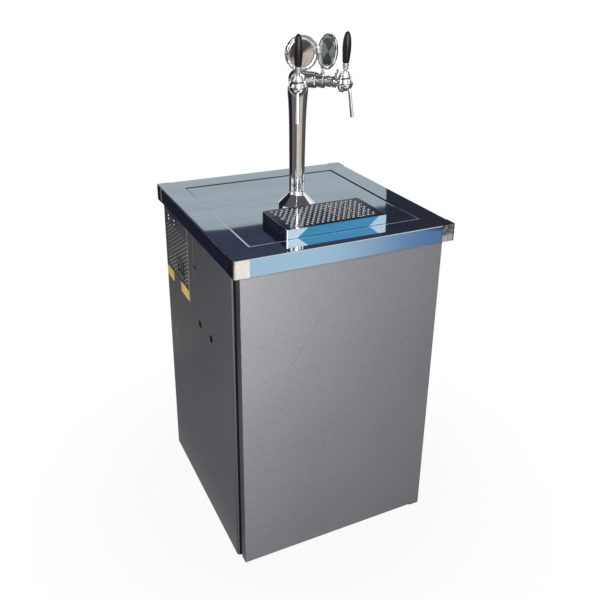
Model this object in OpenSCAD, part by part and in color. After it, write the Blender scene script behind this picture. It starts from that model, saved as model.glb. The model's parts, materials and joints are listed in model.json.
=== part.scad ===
// Keg cooler: an insulated cabinet with one door, a steel worktop, a drip tray and a two-tap tower.
// Origin on the floor under the middle of the worktop, +Z up, front towards -Y. Millimetres.

/* [Worktop] */
// Width of the worktop, side to side
top_w = 600; // [580:1:680]
// Depth of the worktop, front to back
top_d = 626; // [610:1:700]
// Height of the worktop's upper face above the floor
top_z = 924; // [900:1:980]
// Height of the folded edge
skirt_h = 45; // [40:1:60]
// Thickness of the worktop sheet
top_sheet = 1.5; // [1:0.1:2]
// Thickness of the board under the sheet
core_t = 28; // [20:1:32]
// Distance from the worktop's sides to the sunk deck
deck_inset_x = 66; // [50:1:90]
// Distance from the drip tray's front to the sunk deck's front edge
deck_lip = 1.5; // [0.5:0.5:6]
// Depth of the sunk deck
deck_drop = 2; // [1:0.5:4]
// Radius of the worktop's upright corners
edge_r = 5; // [3:0.5:12]
// Length of a corner cap along each edge
cap_len = 38; // [25:1:60]
// Thickness of a corner cap
cap_t = 1.2; // [0.8:0.1:2]

/* [Cabinet] */
// Distance from the worktop's side edges in to the side panels
overhang_side = 12.5; // [11.5:0.5:16]
// Distance from the worktop's back edge in to the back panel
overhang_back = 15; // [5:1:20]
// Distance from the worktop's front edge back to the door seal's face
overhang_front = 55; // [50:1:60]
// Thickness of the outer sheets
panel_t = 1.2; // [0.8:0.1:1.6]
// Width of the side panels' folded front flange
flange_w = 14; // [10:1:16]
// Thickness of the insulated walls
wall_t = 45; // [40:1:50]
// Thickness of the insulated floor
floor_t = 50; // [40:1:60]
// Thickness of the insulated ceiling
ceiling_t = 40; // [35:1:48]
// Thickness of the moulded front frame
frame_t = 12; // [10:1:16]
// Thickness of the inner liner
liner_t = 1.5; // [1:0.1:2]
// Height of the levelling feet
foot_h = 20; // [18:1:30]

/* [Door] */
// Distance from the cabinet's sides in to the door's edges
door_in = 8; // [6.5:0.5:12]
// Thickness of the door
door_t = 26.5; // [22:0.5:27]
// Gap between door and cabinet, filled by the seal
door_gap = 9; // [7:0.5:11]
// Clear height between the worktop's edge and the door
door_drop = 4.5; // [4:0.5:8]
// Depth of the raised middle of the door's inner face
plug_d = 25; // [18:1:27]
// Distance from the door's right edge to the hinge pin
hinge_in = 9.5; // [9:0.5:11]
// Radius of the hinge pins
hinge_pin_r = 4; // [3:0.5:4.5]

/* [Machine bay] */
// Depth of the bay at the upper back of the cabinet
bay_d = 236; // [228:1:240]
// Height of the bay
bay_h = 232; // [226:1:250]
// Width of the vent field in the side panels
vent_w = 206; // [180:1:212]
// Height of the vent field
vent_h = 185; // [160:1:190]
// Angle of the vent slots
slot_angle = 28.5; // [20:0.5:35]
// Width of a vent slot
slot_w = 4.5; // [3:0.5:6]
// Upright distance between vent slots
slot_pitch = 12; // [10:0.5:18]
// Radius of the condenser fan
fan_r = 64; // [50:1:66]
// Radius of the compressor shell
comp_r = 62; // [50:1:64]

/* [Line ports] */
// Outer radius of a line port's sleeve
port_r = 11; // [9:0.5:13]
// Bore radius of a line port
port_bore_r = 8.5; // [6:0.5:8.5]
// Distance from the door seal's face back to the front port
port_in = 162; // [150:1:170]
// Distance between the two ports
port_gap = 91; // [60:1:95]

/* [Drip tray] */
// Width of the drip tray
tray_w = 278; // [240:1:320]
// Depth of the drip tray
tray_d = 149; // [120:1:150]
// Height of the drip tray
tray_h = 25.5; // [20:0.5:34]
// Wall thickness of the drip tray
tray_t = 1.5; // [1:0.1:2]
// Thickness of the perforated grid
grid_t = 1.5; // [1:0.1:2.5]
// Radius of a hole in the grid
hole_r = 4; // [2.5:0.25:4.5]
// Distance between holes in a row
hole_pitch = 14.3; // [12:0.1:18]
// Distance between rows of holes
row_pitch = 11.5; // [10:0.1:16]
// Radius of the grid's finger hole
finger_r = 8; // [7:0.5:11]
// Clear distance between the drip tray and the tower's base
tray_gap = 6.5; // [4:0.5:7]

/* [Tower] */
// Sideways place of the tower
tower_x = -15.5; // [-60:0.5:60]
// Distance from the machine bay's insulated front wall to the tower's axis
tower_in = 53.5; // [52:0.5:56]
// Radius of the tower's base
base_r = 48.5; // [45:0.5:52]
// Height of the upright rim of the base
base_rim = 14.5; // [8:0.5:20]
// Radius of the column above its base
col_r = 19.9; // [19:0.1:24]
// Radius of the column at its upper end
col_top_r = 26.6; // [25:0.1:30]
// Height of the column
col_h = 312; // [260:1:360]
// Wall thickness of the column
col_wall = 2.5; // [1.5:0.1:3]
// Height of the arms' axis above the column's upper end
arm_rise = 28; // [26:0.5:34]
// Direction of the left arm, degrees left of the front
left_arm = 25.5; // [22:0.5:40]
// Direction of the right arm, degrees right of the front
right_arm = 39; // [36:0.5:50]
// Radius of the hollow clamp shank
shank_r = 18; // [15:0.5:18]

/* [Taps] */
// Distance from the tower's axis to the middle of a tap
tap_reach = 126; // [122:1:140]
// Radius of a tap's ball-shaped body
ball_r = 20.5; // [19.5:0.5:22]
// Radius of the ring around the ball
ring_r = 23.4; // [22.5:0.1:25]
// Height of the lever's pivot above the tap's middle
pivot_z = 15; // [13:0.5:16]
// Radius of the bonnet around the lever
bonnet_r = 15.2; // [15:0.1:16.5]
// Radius of a spout
spout_r = 4; // [3.5:0.1:4.4]
// Radius of a spout's end
tip_r = 4.5; // [4.5:0.1:5.5]
// Length of a spout's end
tip_len = 30; // [20:1:36]
// Distance from a tap's middle down to the spout's tip
spout_drop = 82; // [70:1:90]
// Outward lean of a spout, degrees
spout_lean = 8; // [0:0.5:12]
// Distance from a tap's middle up to the handle's foot
collar_top = 48.5; // [46:0.5:56]
// Radius of a lever's collar
collar_r = 7.5; // [6:0.5:8]
// Length of a handle
grip_h = 73; // [60:1:90]
// Largest radius of a handle
grip_r = 10.6; // [9:0.1:12]
// Radius of a handle's foot
grip_foot_r = 8; // [7:0.1:9]
// Radius of a lever's cross pin
tap_pin_r = 2.5; // [2:0.1:3]
// Outward lean of a closed lever, degrees
lever_lean = 2; // [0:0.5:4]

/* [Medallions] */
// Radius of a medallion
medal_r = 42.2; // [30:0.1:43]
// Height of a medallion's middle above the arm's axis
medal_rise = 71; // [68:1:84]
// Distance from the tower's axis to a medallion's stem
stem_reach = 67; // [64:0.5:70]
// Radius of a stem
stem_r = 3; // [2.5:0.1:3.5]
// Direction of the left medallion's face, degrees right of the front
left_face = -6; // [-12:1:4]
// Direction of the right medallion's face, degrees right of the front
right_face = 29; // [27:1:45]
// Distance from the left stem's axis to its medallion's back
left_back = 4; // [3.5:0.5:6]
// Distance from the right stem's axis to its medallion's back
right_back = 11; // [10:0.5:14]
// Sideways lean of the left stem, degrees to the right
left_lean = 5; // [0:0.5:6]

/* [Hidden] */
$fn = 64;
// Running clearance of pins and shafts
fit = 0.05;
// Clearance between pieces that are only set in place
seat = 0.2;

cab_w = top_w - 2 * overhang_side;
cab_d = top_d - overhang_front - overhang_back;
front_y = -top_d / 2 + overhang_front;
back_y = front_y + cab_d;
cab_top = top_z - top_sheet - deck_drop - core_t;
side_in = cab_w / 2 - panel_t;
base_t = 1.5;
base_top = foot_h + base_t;
foam_y0 = front_y + frame_t;
foam_y1 = back_y - panel_t;
cham_x = cab_w / 2 - wall_t;
cham_floor = foot_h + floor_t;
cham_ceil = cab_top - ceiling_t;
rear_y = back_y - wall_t;
bay_y = back_y - bay_d;
bay_z = cab_top - bay_h;
step_y = bay_y - wall_t;
step_z = bay_z - ceiling_t;
frame_lip = 2;
mouth_x = cham_x - liner_t - frame_lip;
mouth_z0 = cham_floor + liner_t + frame_lip;
mouth_z1 = cham_ceil - liner_t - frame_lip;

tower_y = step_y - tower_in;
tray_x = 1;
tray_y0 = tower_y - base_r - tray_gap - tray_d;

deck_w = top_w - 2 * deck_inset_x;
deck_d = 2 * (deck_lip - tray_y0);
deck_z = top_z - deck_drop;

door_w = cab_w - 2 * door_in;
door_back = front_y - door_gap;
door_front = door_back - door_t;
door_top = top_z - skirt_h - door_drop;
door_bot = foot_h + 4;
door_sheet = 1.2;
door_liner_t = 2;
hinge_x = door_w / 2 - hinge_in;
hinge_y = door_front + 14;
pin_len = 14;
bush_r = hinge_pin_r + 3;
plug_x = mouth_x - 11;
plug_z0 = mouth_z0 + 11;
plug_z1 = mouth_z1 - 11;
seal_in = 14;
seal_w = 16;

foot_x = cab_w / 2 - 48;
foot_y = [front_y + 43, back_y - 43];

vent_y1 = back_y - 10;
vent_y0 = vent_y1 - vent_w;
vent_z1 = top_z - skirt_h - 15;
vent_z0 = vent_z1 - vent_h;
vent_lap = 8;
slot_y0 = vent_y0 + 6;
slot_y1 = vent_y1 - 4;
slot_z0 = vent_z0 + 5;
slot_z1 = vent_z1 - 38;
inlet_y = vent_y0 + 74;
inlet_z = vent_z0 + 38;
inlet_w = 58;
inlet_h = 52;
plate_y = vent_y1 - 69;
plate_z = vent_z1 - 21;
plate_w = 62;
plate_h = 22;
plate_t = 2.5;

port_y = [front_y + port_in, front_y + port_in + port_gap];
port_z = step_z - 5;

fan_y = (bay_y + foam_y1) / 2;
cond_z0 = bay_z + 8;
cond_rows = 5;
cond_h = 150;
cond_w = bay_d - 56;
cond_t = 32;
cond_x0 = -side_in + 40;
cond_x1 = cond_x0 + cond_t;
fan_z = cond_z0 + cond_h / 2;
fan_x = cond_x1 + 8;
shroud_t = 1.5;
bar_x = cond_x1 + 42;

comp_in = 146.3;
comp_x = side_in - comp_in;
comp_y = (bay_y + foam_y1) / 2;
comp_z = bay_z + 17;
comp_base = [170, 112];
mount_in = 14;
stub_off = 20;
fan_hub_r = 19;

tray_z = deck_z;
grid_z = tray_z + tray_h - grid_t;
ledge = 4;

seal_t = 1.5;
col_z = top_z - deck_drop + seal_t;
arm_z = col_z + col_h + arm_rise;
foot_flare = 18;
flare_z = base_r + base_rim - col_r + 0.414 * foot_flare;
line_r = 3;
line_in = [-9, 9];
elbow = 0.4;
tail_r = 4;
tail_len = 24;
shank_z = cham_ceil - liner_t - 20;
lines_z = shank_z - tail_len - 2;

arm_angles = [-left_arm, right_arm];
face_angles = [left_face, right_face];
socket_len = 47;
neck_r = 11;
ring_in = tap_reach - 30;
stem_backs = [left_back, right_back];
stem_leans = [left_lean, 0];
pivot_r = 7;
lever_r = 4.2;
lever_tilt = 25;
bonnet_h = 11;
collar_foot = bonnet_h + 4;
grip_peak = 0.45;

// One piece to draw, or all of them

steel = [0.72, 0.74, 0.77];
chrome_tone = [0.82, 0.82, 0.82];
coat = [0.33, 0.33, 0.35];
door_tone = [0.55, 0.56, 0.58];
black = [0.09, 0.09, 0.1];
foam_tone = [0.87, 0.83, 0.68];
white_tone = [0.88, 0.89, 0.9];
copper_tone = [0.72, 0.45, 0.3];

// Box between two corners
module box(low, high) {
    translate(low) cube(high - low);
}

// Rectangle with round corners, about the origin
module round_rect(w, h, r) {
    square([w - 2 * r, h], center = true);
    square([w, h - 2 * r], center = true);
    for (x = [-1, 1], y = [-1, 1])
        translate([x * (w / 2 - r), y * (h / 2 - r)]) circle(r);
}

// Stretches a flat outline drawn in Y and Z along X
module along_x(x0, x1) {
    translate([x0, 0, 0]) rotate([90, 0, 90]) linear_extrude(x1 - x0) children();
}

// Stretches a flat outline drawn in X and Z along Y
module along_y(y0, y1) {
    translate([0, y1, 0]) rotate([90, 0, 0]) linear_extrude(y1 - y0) children();
}

// Round bars from point to point, with a small ball elbow where two bars meet
module pipe(points, r) {
    for (i = [0 : len(points) - 2]) {
        step = points[i + 1] - points[i];
        turn = atan2(step[1], step[0]);
        tilt = acos(step[2] / norm(step));
        translate(points[i]) rotate([0, tilt, turn]) cylinder(r = r, h = norm(step));
    }
    for (i = [1 : 1 : len(points) - 2]) translate(points[i]) sphere(r + elbow);
}

// Tube along Z
module tube(r_out, r_in, h) {
    difference() {
        cylinder(r = r_out, h = h);
        translate([0, 0, -1]) cylinder(r = r_in, h = h + 2);
    }
}

// Places a piece drawn along +X onto an arm's axis
module at_arm(side) {
    translate([tower_x, tower_y, arm_z]) rotate([0, 0, arm_angles[side] - 90]) children();
}

// Places a piece drawn about a tap's middle
module at_tap(side) {
    at_arm(side) translate([tap_reach, 0, 0]) children();
}

// Places a piece drawn about a lever's pivot
module at_lever(side) {
    at_tap(side) translate([0, 0, pivot_z]) rotate([0, lever_lean, 0]) children();
}

// Places a piece drawn about a stem, along an arm
module at_stem(side) {
    translate([stem_reach, 0, 0]) rotate([-stem_leans[side], 0, 0]) children();
}

// Places a piece drawn about a medallion's stem, with its face towards +X
module at_medallion(side) {
    at_arm(side) at_stem(side) rotate([0, 0, face_angles[side] - arm_angles[side]]) children();
}

// Worktop: sheet with a sunk deck, a folded edge and a small return under it
module worktop() {
    color(steel) difference() {
        union() {
            translate([0, 0, top_z - skirt_h]) difference() {
                linear_extrude(skirt_h) round_rect(top_w, top_d, edge_r);
                translate([0, 0, -1]) linear_extrude(skirt_h + 1 - top_sheet)
                    round_rect(top_w - 2 * top_sheet, top_d - 2 * top_sheet, edge_r - top_sheet);
            }
            translate([0, 0, deck_z - top_sheet]) linear_extrude(deck_drop + top_sheet)
                round_rect(deck_w + 2 * top_sheet, deck_d + 2 * top_sheet, edge_r + top_sheet);
            translate([0, 0, top_z - skirt_h]) linear_extrude(top_sheet) difference() {
                round_rect(top_w - 1, top_d - 1, edge_r);
                square([top_w - 20, top_d - 20], center = true);
            }
        }
        translate([0, 0, deck_z]) linear_extrude(deck_drop + 1) round_rect(deck_w, deck_d, edge_r);
        shank_hole(deck_z - 5, deck_z + 5);
    }
}

// Hole that the clamp shank passes through
module shank_hole(z0, z1) {
    translate([tower_x, tower_y, z0]) cylinder(r = shank_r + 1, h = z1 - z0);
}

// Board that stiffens the worktop
module worktop_core() {
    color([0.55, 0.42, 0.28]) difference() {
        translate([0, 0, cab_top]) linear_extrude(core_t)
            round_rect(top_w - 2 * top_sheet - 2, top_d - 2 * top_sheet - 2, edge_r);
        shank_hole(cab_top - 1, cab_top + core_t + 1);
    }
}

// Four caps around the upright corners of the worktop's edge
module corner_caps() {
    color(chrome_tone) translate([0, 0, top_z - skirt_h]) linear_extrude(skirt_h) intersection() {
        difference() {
            round_rect(top_w + 2 * cap_t, top_d + 2 * cap_t, edge_r + cap_t);
            round_rect(top_w, top_d, edge_r);
        }
        for (x = [-1, 1], y = [-1, 1])
            translate([x * (top_w / 2 - cap_len / 2 + 5), y * (top_d / 2 - cap_len / 2 + 5)])
                square([cap_len + 10, cap_len + 10], center = true);
    }
}

// Small angle pieces that tie the worktop's edge to the side panels
module worktop_brackets() {
    z1 = top_z - skirt_h;
    color(black) for (x = [-1, 1], y = [front_y + 0.2 * cab_d, front_y + 0.4 * cab_d])
        translate([x * (cab_w / 2 + 4.5), y, z1 - 8]) difference() {
            cube([9, 20, 16], center = true);
            translate([x * 3, 0, -3]) cube([9, 30, 16], center = true);
        }
}

// Outline of a side panel seen from above, with its rounded front fold
module side_outline() {
    bend = 9;
    translate([0, bend]) square([panel_t, cab_d - bend]);
    translate([bend, 0]) square([flange_w - bend, panel_t]);
    difference() {
        intersection() {
            translate([bend, bend]) circle(bend);
            square([bend, bend]);
        }
        translate([bend, bend]) circle(bend - panel_t);
    }
}

// Left side panel as drawn; the right one is its mirror image without the line ports
module side_panel(ports) {
    difference() {
        translate([-cab_w / 2, front_y, foot_h]) linear_extrude(cab_top - foot_h) side_outline();
        box([-cab_w / 2 - 1, vent_y0, vent_z0], [-cab_w / 2 + 5, vent_y1, vent_z1]);
        if (ports) for (y = port_y)
            translate([-cab_w / 2 - 1, y, port_z]) rotate([0, 90, 0]) cylinder(r = port_r + seat, h = 5);
    }
}

module left_side_panel() {
    color(coat) side_panel(true);
}

module right_side_panel() {
    color(coat) mirror([1, 0, 0]) side_panel(false);
}

// Back panel with two columns of outlet slots over the machine bay
module back_panel() {
    color(coat) difference() {
        box([-side_in, back_y - panel_t, foot_h], [side_in, back_y, cab_top]);
        for (x = [-120, 120], i = [0 : 7])
            translate([x, back_y, bay_z + 40 + i * 20]) rotate([90, 0, 0])
                linear_extrude(10, center = true) round_rect(160, 7, 3.4);
    }
}

// Base sheet that carries the feet
module base_pan() {
    color(coat) difference() {
        box([-side_in, foam_y0, foot_h], [side_in, foam_y1, base_top]);
        for (x = [-1, 1], y = foot_y) translate([x * foot_x, y, foot_h - 1]) cylinder(r = 5.5, h = base_t + 2);
    }
}

// Moulded frame around the mouth of the chamber, which the door seal meets
module front_frame() {
    half = cab_w / 2 - flange_w;
    color(coat) along_y(front_y, foam_y0) difference() {
        translate([-half, foot_h]) square([2 * half, cab_top - foot_h]);
        translate([-mouth_x, mouth_z0]) square([2 * mouth_x, mouth_z1 - mouth_z0]);
    }
}

// Holes for the two upright refrigerant pipes between bay and chamber
module riser_holes() {
    for (x = riser_x) translate([x, riser_y, step_z - 10]) cylinder(r = 6, h = ceiling_t + 30);
}

riser_x = [30, 60];
riser_y = rear_y - liner_t - 13;

// Rigid foam boards: two-part sides, floor, back, bay floor, bay front wall and ceiling
module insulation_boards() {
    inner = cham_x - seat;
    color(foam_tone) difference() {
        union() {
            for (x = [-1, 1]) {
                low = min(x * cham_x, x * side_in);
                high = max(x * cham_x, x * side_in);
                box([low, foam_y0, base_top], [high, foam_y1, bay_z]);
                box([low, foam_y0, bay_z + seat], [high, bay_y, cab_top]);
            }
            box([-inner, foam_y0, base_top], [inner, foam_y1, cham_floor]);
            box([-inner, rear_y, cham_floor + seat], [inner, foam_y1, bay_z]);
            box([-inner, step_y, step_z], [inner, rear_y - seat, bay_z]);
            box([-inner, step_y, bay_z + seat], [inner, bay_y, cab_top]);
            box([-inner, foam_y0, cham_ceil], [inner, step_y - seat, cab_top]);
        }
        shank_hole(cham_ceil - 1, cab_top + 1);
        riser_holes();
        for (x = [-1, 1], y = foot_y) translate([x * foot_x, y, base_top - 1]) cylinder(r = 8, h = 16);
        for (y = port_y)
            translate([-side_in - 1, y, port_z]) rotate([0, 90, 0]) cylinder(r = port_r + seat, h = wall_t + 2);
    }
}

// Clear space of the chamber, grown by a thickness and open at the front
module chamber(grow, front) {
    box([-cham_x + liner_t - grow, front, cham_floor + liner_t - grow],
        [cham_x - liner_t + grow, step_y - liner_t + grow, cham_ceil - liner_t + grow]);
    box([-cham_x + liner_t - grow, front, cham_floor + liner_t - grow],
        [cham_x - liner_t + grow, rear_y - liner_t + grow, step_z - liner_t + grow]);
}

// Moulded liner of the chamber
module inner_liner() {
    color(white_tone) difference() {
        chamber(liner_t, foam_y0);
        chamber(0, foam_y0 - 1);
        shank_hole(cham_ceil - 5, cham_ceil + 5);
        riser_holes();
        for (y = port_y)
            translate([-cham_x - 1, y, port_z]) rotate([0, 90, 0]) cylinder(r = port_r + seat, h = liner_t + 2);
    }
}

// Ribbed plate on which the keg stands
module floor_plate() {
    z0 = cham_floor + liner_t;
    color(steel) {
        box([-cham_x + 12, foam_y0 + 12, z0], [cham_x - 12, rear_y - 14, z0 + 1.5]);
        for (x = [-3 : 3])
            box([x * 60 - 6, foam_y0 + 30, z0 + 1], [x * 60 + 6, rear_y - 32, z0 + 3]);
    }
}

// Four feet: pad, lock nut and threaded stem in one
module levelling_feet() {
    color(black) for (x = [-1, 1], y = foot_y) translate([x * foot_x, y, 0]) {
        cylinder(r1 = 19, r2 = 20, h = 2);
        translate([0, 0, 2]) cylinder(r1 = 20, r2 = 12, h = 7);
        cylinder(r = 5, h = foot_h + 12);
        translate([0, 0, foot_h - 6]) cylinder(r = 9, h = 6, $fn = 6);
    }
}

// Outline of the slanted slots of a vent cover, clipped to the vent field
module slot_field() {
    rise = tan(slot_angle);
    mid_y = (slot_y0 + slot_y1) / 2;
    mid_z = (slot_z0 + slot_z1) / 2;
    count = ceil((slot_z1 - slot_z0 + rise * (slot_y1 - slot_y0)) / slot_pitch / 2);
    for (i = [-count : count]) {
        level = mid_z + i * slot_pitch;
        y_a = max(slot_y0, mid_y + (level - slot_z1) / rise);
        y_b = min(slot_y1, mid_y + (level - slot_z0) / rise);
        reach = (y_b - y_a) / cos(slot_angle) - slot_w;
        if (reach > 8)
            translate([(y_a + y_b) / 2, level - ((y_a + y_b) / 2 - mid_y) * rise]) rotate(-slot_angle) {
                square([reach, slot_w], center = true);
                for (s = [-1, 1]) translate([s * reach / 2, 0]) circle(slot_w / 2);
            }
    }
}

// Left vent cover as drawn; the right one has no inlet and no controller
module vent_cover(left) {
    along_x(-side_in, -side_in + panel_t) difference() {
        translate([vent_y0 - vent_lap, vent_z0 - vent_lap])
            square([vent_w + 2 * vent_lap, vent_h + 2 * vent_lap]);
        difference() {
            slot_field();
            if (left) translate([inlet_y, inlet_z])
                square([inlet_w + 12, inlet_h + 12], center = true);
        }
        if (left) {
            translate([inlet_y, inlet_z]) square([inlet_w - 6, inlet_h - 6], center = true);
            translate([plate_y, plate_z]) square([plate_w - 16, plate_h - 5], center = true);
        }
    }
}

module vent_covers() {
    color(coat) {
        vent_cover(true);
        mirror([1, 0, 0]) vent_cover(false);
    }
}

// Pan-head screw pointing along +Z into its hole, head below
module screw(shaft) {
    translate([0, 0, -1.8]) cylinder(r1 = 2, r2 = 2.6, h = 1.8);
    cylinder(r = 1.4, h = shaft);
}

// Screws of the controller plate and of the upper hinge bracket
module panel_screws() {
    color(chrome_tone) {
        for (y = [-1, 1], z = [-1, 1])
            translate([-side_in - plate_t, plate_y + y * (plate_w / 2 - 4), plate_z + z * 5.5])
                rotate([0, 90, 0]) screw(plate_t - seat);
        for (x = [-1, 1])
            translate([hinge_x - 5 + x * 9, front_y - 3, cab_top - 6]) rotate([-90, 0, 0]) screw(3 - seat);
    }
}

// Holes for a row of screws, a little wider than their shafts
module screw_hole(depth) {
    translate([0, 0, -1]) cylinder(r = 1.4 + seat, h = depth + 2);
}

// Upper hinge bracket: flange on the front frame, ear over the door, pin down into the door
module hinge_bracket_top() {
    z0 = door_top + 2.2;
    color(coat) difference() {
        union() {
            box([hinge_x - 23, hinge_y - 11, z0], [hinge_x + 12, front_y, z0 + 3]);
            box([hinge_x - 23, front_y - 3, z0], [hinge_x + 12, front_y, cab_top]);
            translate([hinge_x, hinge_y, z0 - pin_len]) cylinder(r = hinge_pin_r, h = pin_len + 1);
        }
        for (x = [-1, 1])
            translate([hinge_x - 5 + x * 9, front_y - 3, cab_top - 6]) rotate([-90, 0, 0]) screw_hole(3);
    }
}

// Lower hinge bracket: plate under the base, ear under the door, thrust collar and pin
module hinge_bracket_bottom() {
    color(coat) {
        box([hinge_x - 19, hinge_y - 11, foot_h - 3], [hinge_x + 12, front_y + 60, foot_h]);
        translate([hinge_x, hinge_y, foot_h - 1]) cylinder(r = hinge_pin_r, h = door_bot - foot_h + pin_len - 1);
        translate([hinge_x, hinge_y, foot_h - 1]) cylinder(r = bush_r, h = 3.7);
    }
}

// Sheet on the bay floor that the compressor and the condenser stand on
module bay_tray() {
    color(steel) difference() {
        box([-side_in + 3, bay_y + 3, bay_z], [side_in - 3, foam_y1 - 3, bay_z + 2]);
        riser_holes();
    }
}

// Hermetic compressor: domed shell on a base plate, with its terminal box
module compressor() {
    dome = 22;
    wall_h = 96;
    color(black) translate([comp_x, comp_y, comp_z]) {
        rotate_extrude() polygon(concat([[0, 0], [comp_r - 16, 0]],
            [for (a = [0 : 15 : 90]) [comp_r - 16 + 16 * sin(a), 16 - 16 * cos(a)]],
            [for (a = [0 : 15 : 90]) [comp_r * cos(a), 16 + wall_h + dome * sin(a)]]));
        translate([0, 0, -1.5]) cube([comp_base[0], comp_base[1], 3], center = true);
        box([comp_r - 6, -26, 30], [comp_r + 22, 26, 84]);
    }
}

// Rubber mounts under the compressor's base plate
module compressor_mounts() {
    mount_x = comp_base[0] / 2 - mount_in;
    mount_y = comp_base[1] / 2 - mount_in;
    color(black) for (x = [-mount_x, mount_x], y = [-mount_y, mount_y])
        translate([comp_x + x, comp_y + y, bay_z + 2]) cylinder(r1 = 12, r2 = 9, h = 12);
}

// Condenser: upright fins on rows of tube with return bends
module condenser() {
    rows = cond_rows;
    gap = cond_h / rows;
    fins = 23;
    y0 = fan_y - cond_w / 2;
    color(steel) {
        for (i = [0 : fins - 1])
            translate([cond_x0, y0 + i * (cond_w - 0.8) / (fins - 1), cond_z0]) cube([cond_t, 0.8, cond_h]);
        for (x = [0.28, 0.72], i = [0 : rows - 1])
            translate([cond_x0 + x * cond_t, y0 - 3, cond_z0 + (i + 0.5) * gap]) rotate([-90, 0, 0])
                cylinder(r = 4, h = cond_w + 6);
        for (x = [0.28, 0.72], i = [0 : rows - 2])
            translate([cond_x0 + x * cond_t, i % 2 == 0 ? y0 - 3 : y0 + cond_w + 3, cond_z0 + (i + 1) * gap])
                rotate([0, 90, 0]) rotate([0, 0, i % 2 == 0 ? 180 : 0])
                    rotate_extrude(angle = 180) translate([gap / 2, 0]) circle(4);
        translate([cond_x0 + cond_t / 2, y0 + cond_w + 3, cond_z0 + gap / 2])
            rotate_extrude(angle = 180) translate([0.22 * cond_t, 0]) circle(4);
        for (y = [y0 + 2, y0 + cond_w - 10])
            box([cond_x0 + 4, y, bay_z + 2], [cond_x1 - 4, y + 8, cond_z0 + 1]);
    }
}

// Fan shroud with its ring and the bar that carries the motor
module fan_shroud() {
    color(black) difference() {
        union() {
            box([cond_x1 + seat, fan_y - cond_w / 2, cond_z0],
                [cond_x1 + seat + shroud_t, fan_y + cond_w / 2, cond_z0 + cond_h]);
            translate([cond_x1 + seat, fan_y, fan_z]) rotate([0, 90, 0]) cylinder(r = fan_r + 6, h = 22);
            for (z = [cond_z0, cond_z0 + cond_h - 3])
                box([cond_x1 + seat, fan_y - 12, z], [bar_x + 3, fan_y + 12, z + 3]);
            box([bar_x, fan_y - 12, cond_z0], [bar_x + 3, fan_y + 12, cond_z0 + cond_h]);
        }
        translate([cond_x1 - 1, fan_y, fan_z]) rotate([0, 90, 0]) cylinder(r = fan_r + 3.5, h = 30);
        translate([bar_x - 5, fan_y, fan_z]) rotate([0, 90, 0]) cylinder(r = 8, h = 12);
    }
}

// Fan motor on the bar, with its shaft through to the fan
module fan_motor() {
    color(coat) translate([bar_x + 3, fan_y, fan_z]) rotate([0, 90, 0]) {
        cylinder(r = 26, h = 4);
        cylinder(r = 23, h = 42);
        translate([0, 0, -(bar_x + 3 - fan_x)]) cylinder(r = 3, h = bar_x + 4 - fan_x);
    }
}

// Condenser fan: hub with five pitched blades
module condenser_fan() {
    color(black) translate([fan_x, fan_y, fan_z]) rotate([0, 90, 0]) difference() {
        union() {
            cylinder(r = fan_hub_r, h = 16);
            intersection() {
                for (i = [0 : 4]) rotate([0, 0, i * 72]) translate([0, -20, 8]) rotate([26, 0, 0])
                    translate([10, 0, -0.9]) cube([fan_r, 40, 1.8]);
                translate([0, 0, 1]) cylinder(r = fan_r, h = 14);
            }
        }
        translate([0, 0, -1]) cylinder(r = 3 + fit, h = 18);
    }
}

// Copper pipes between compressor, condenser, drier and evaporator, and the drier itself
module refrigerant_pipes() {
    row_gap = cond_h / cond_rows;
    front = fan_y - cond_w / 2 - 3.5;
    near_x = cond_x0 + 0.72 * cond_t;
    far_x = cond_x0 + 0.28 * cond_t;
    stub_r = 4;
    shell_x = comp_x - sqrt(comp_r * comp_r - pow(stub_off - stub_r, 2)) - seat;
    low_z = bay_z + 24;
    high_z = cond_z0 + cond_h - row_gap / 2;
    evap_z = step_z - 26 + seat;
    color(copper_tone) {
        pipe([[shell_x, comp_y - stub_off, comp_z + 90], [-40, comp_y - stub_off, comp_z + 90],
            [-40, front - 6, comp_z + 90], [-40, front - 6, high_z],
            [near_x, front - 6, high_z], [near_x, front, high_z]], 3);
        pipe([[shell_x, comp_y + stub_off, comp_z + 60], [riser_x[0], comp_y + stub_off, comp_z + 60],
            [riser_x[0], riser_y, comp_z + 60], [riser_x[0], riser_y, evap_z]], 4);
        pipe([[far_x, front, high_z], [far_x, front - 14, high_z], [-100, front - 14, high_z],
            [-100, front - 14, low_z], [-80, front - 14, low_z]], 2);
        translate([-81, front - 14, low_z]) rotate([0, 90, 0]) cylinder(r = 9, h = 52);
        pipe([[-30, front - 14, low_z], [riser_x[1], front - 14, low_z], [riser_x[1], riser_y, low_z],
            [riser_x[1], riser_y, evap_z]], 2);
    }
}

// Plate evaporator on the chamber's back wall, with its raised channel and stand-offs
module evaporator_plate() {
    z0 = cham_floor + 60;
    z1 = step_z - 26;
    half = cham_x - 60;
    y1 = rear_y - liner_t - 8;
    rows = 7;
    gap = (z1 - z0 - 40) / (rows - 1);
    color(white_tone) {
        box([-half, y1 - 1.5, z0], [half, y1, z1]);
        for (i = [0 : rows - 1]) translate([-half + 30, y1 - 1.5, z0 + 20 + i * gap])
            rotate([0, 90, 0]) cylinder(r = 3, h = 2 * half - 60);
        for (i = [0 : rows - 2]) translate([(i % 2 == 0 ? 1 : -1) * (half - 30), y1 - 1.5, z0 + 20 + i * gap])
            cylinder(r = 3, h = gap);
        for (x = [-1, 1], z = [z0 + 30, z1 - 30])
            translate([x * (half - 10), y1 - 1, z]) rotate([-90, 0, 0]) cylinder(r = 6, h = 9);
    }
}

thermo_x = -165;
thermo_y = foam_y0 + 46;
thermo_z = cham_ceil - liner_t - 17;

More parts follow.
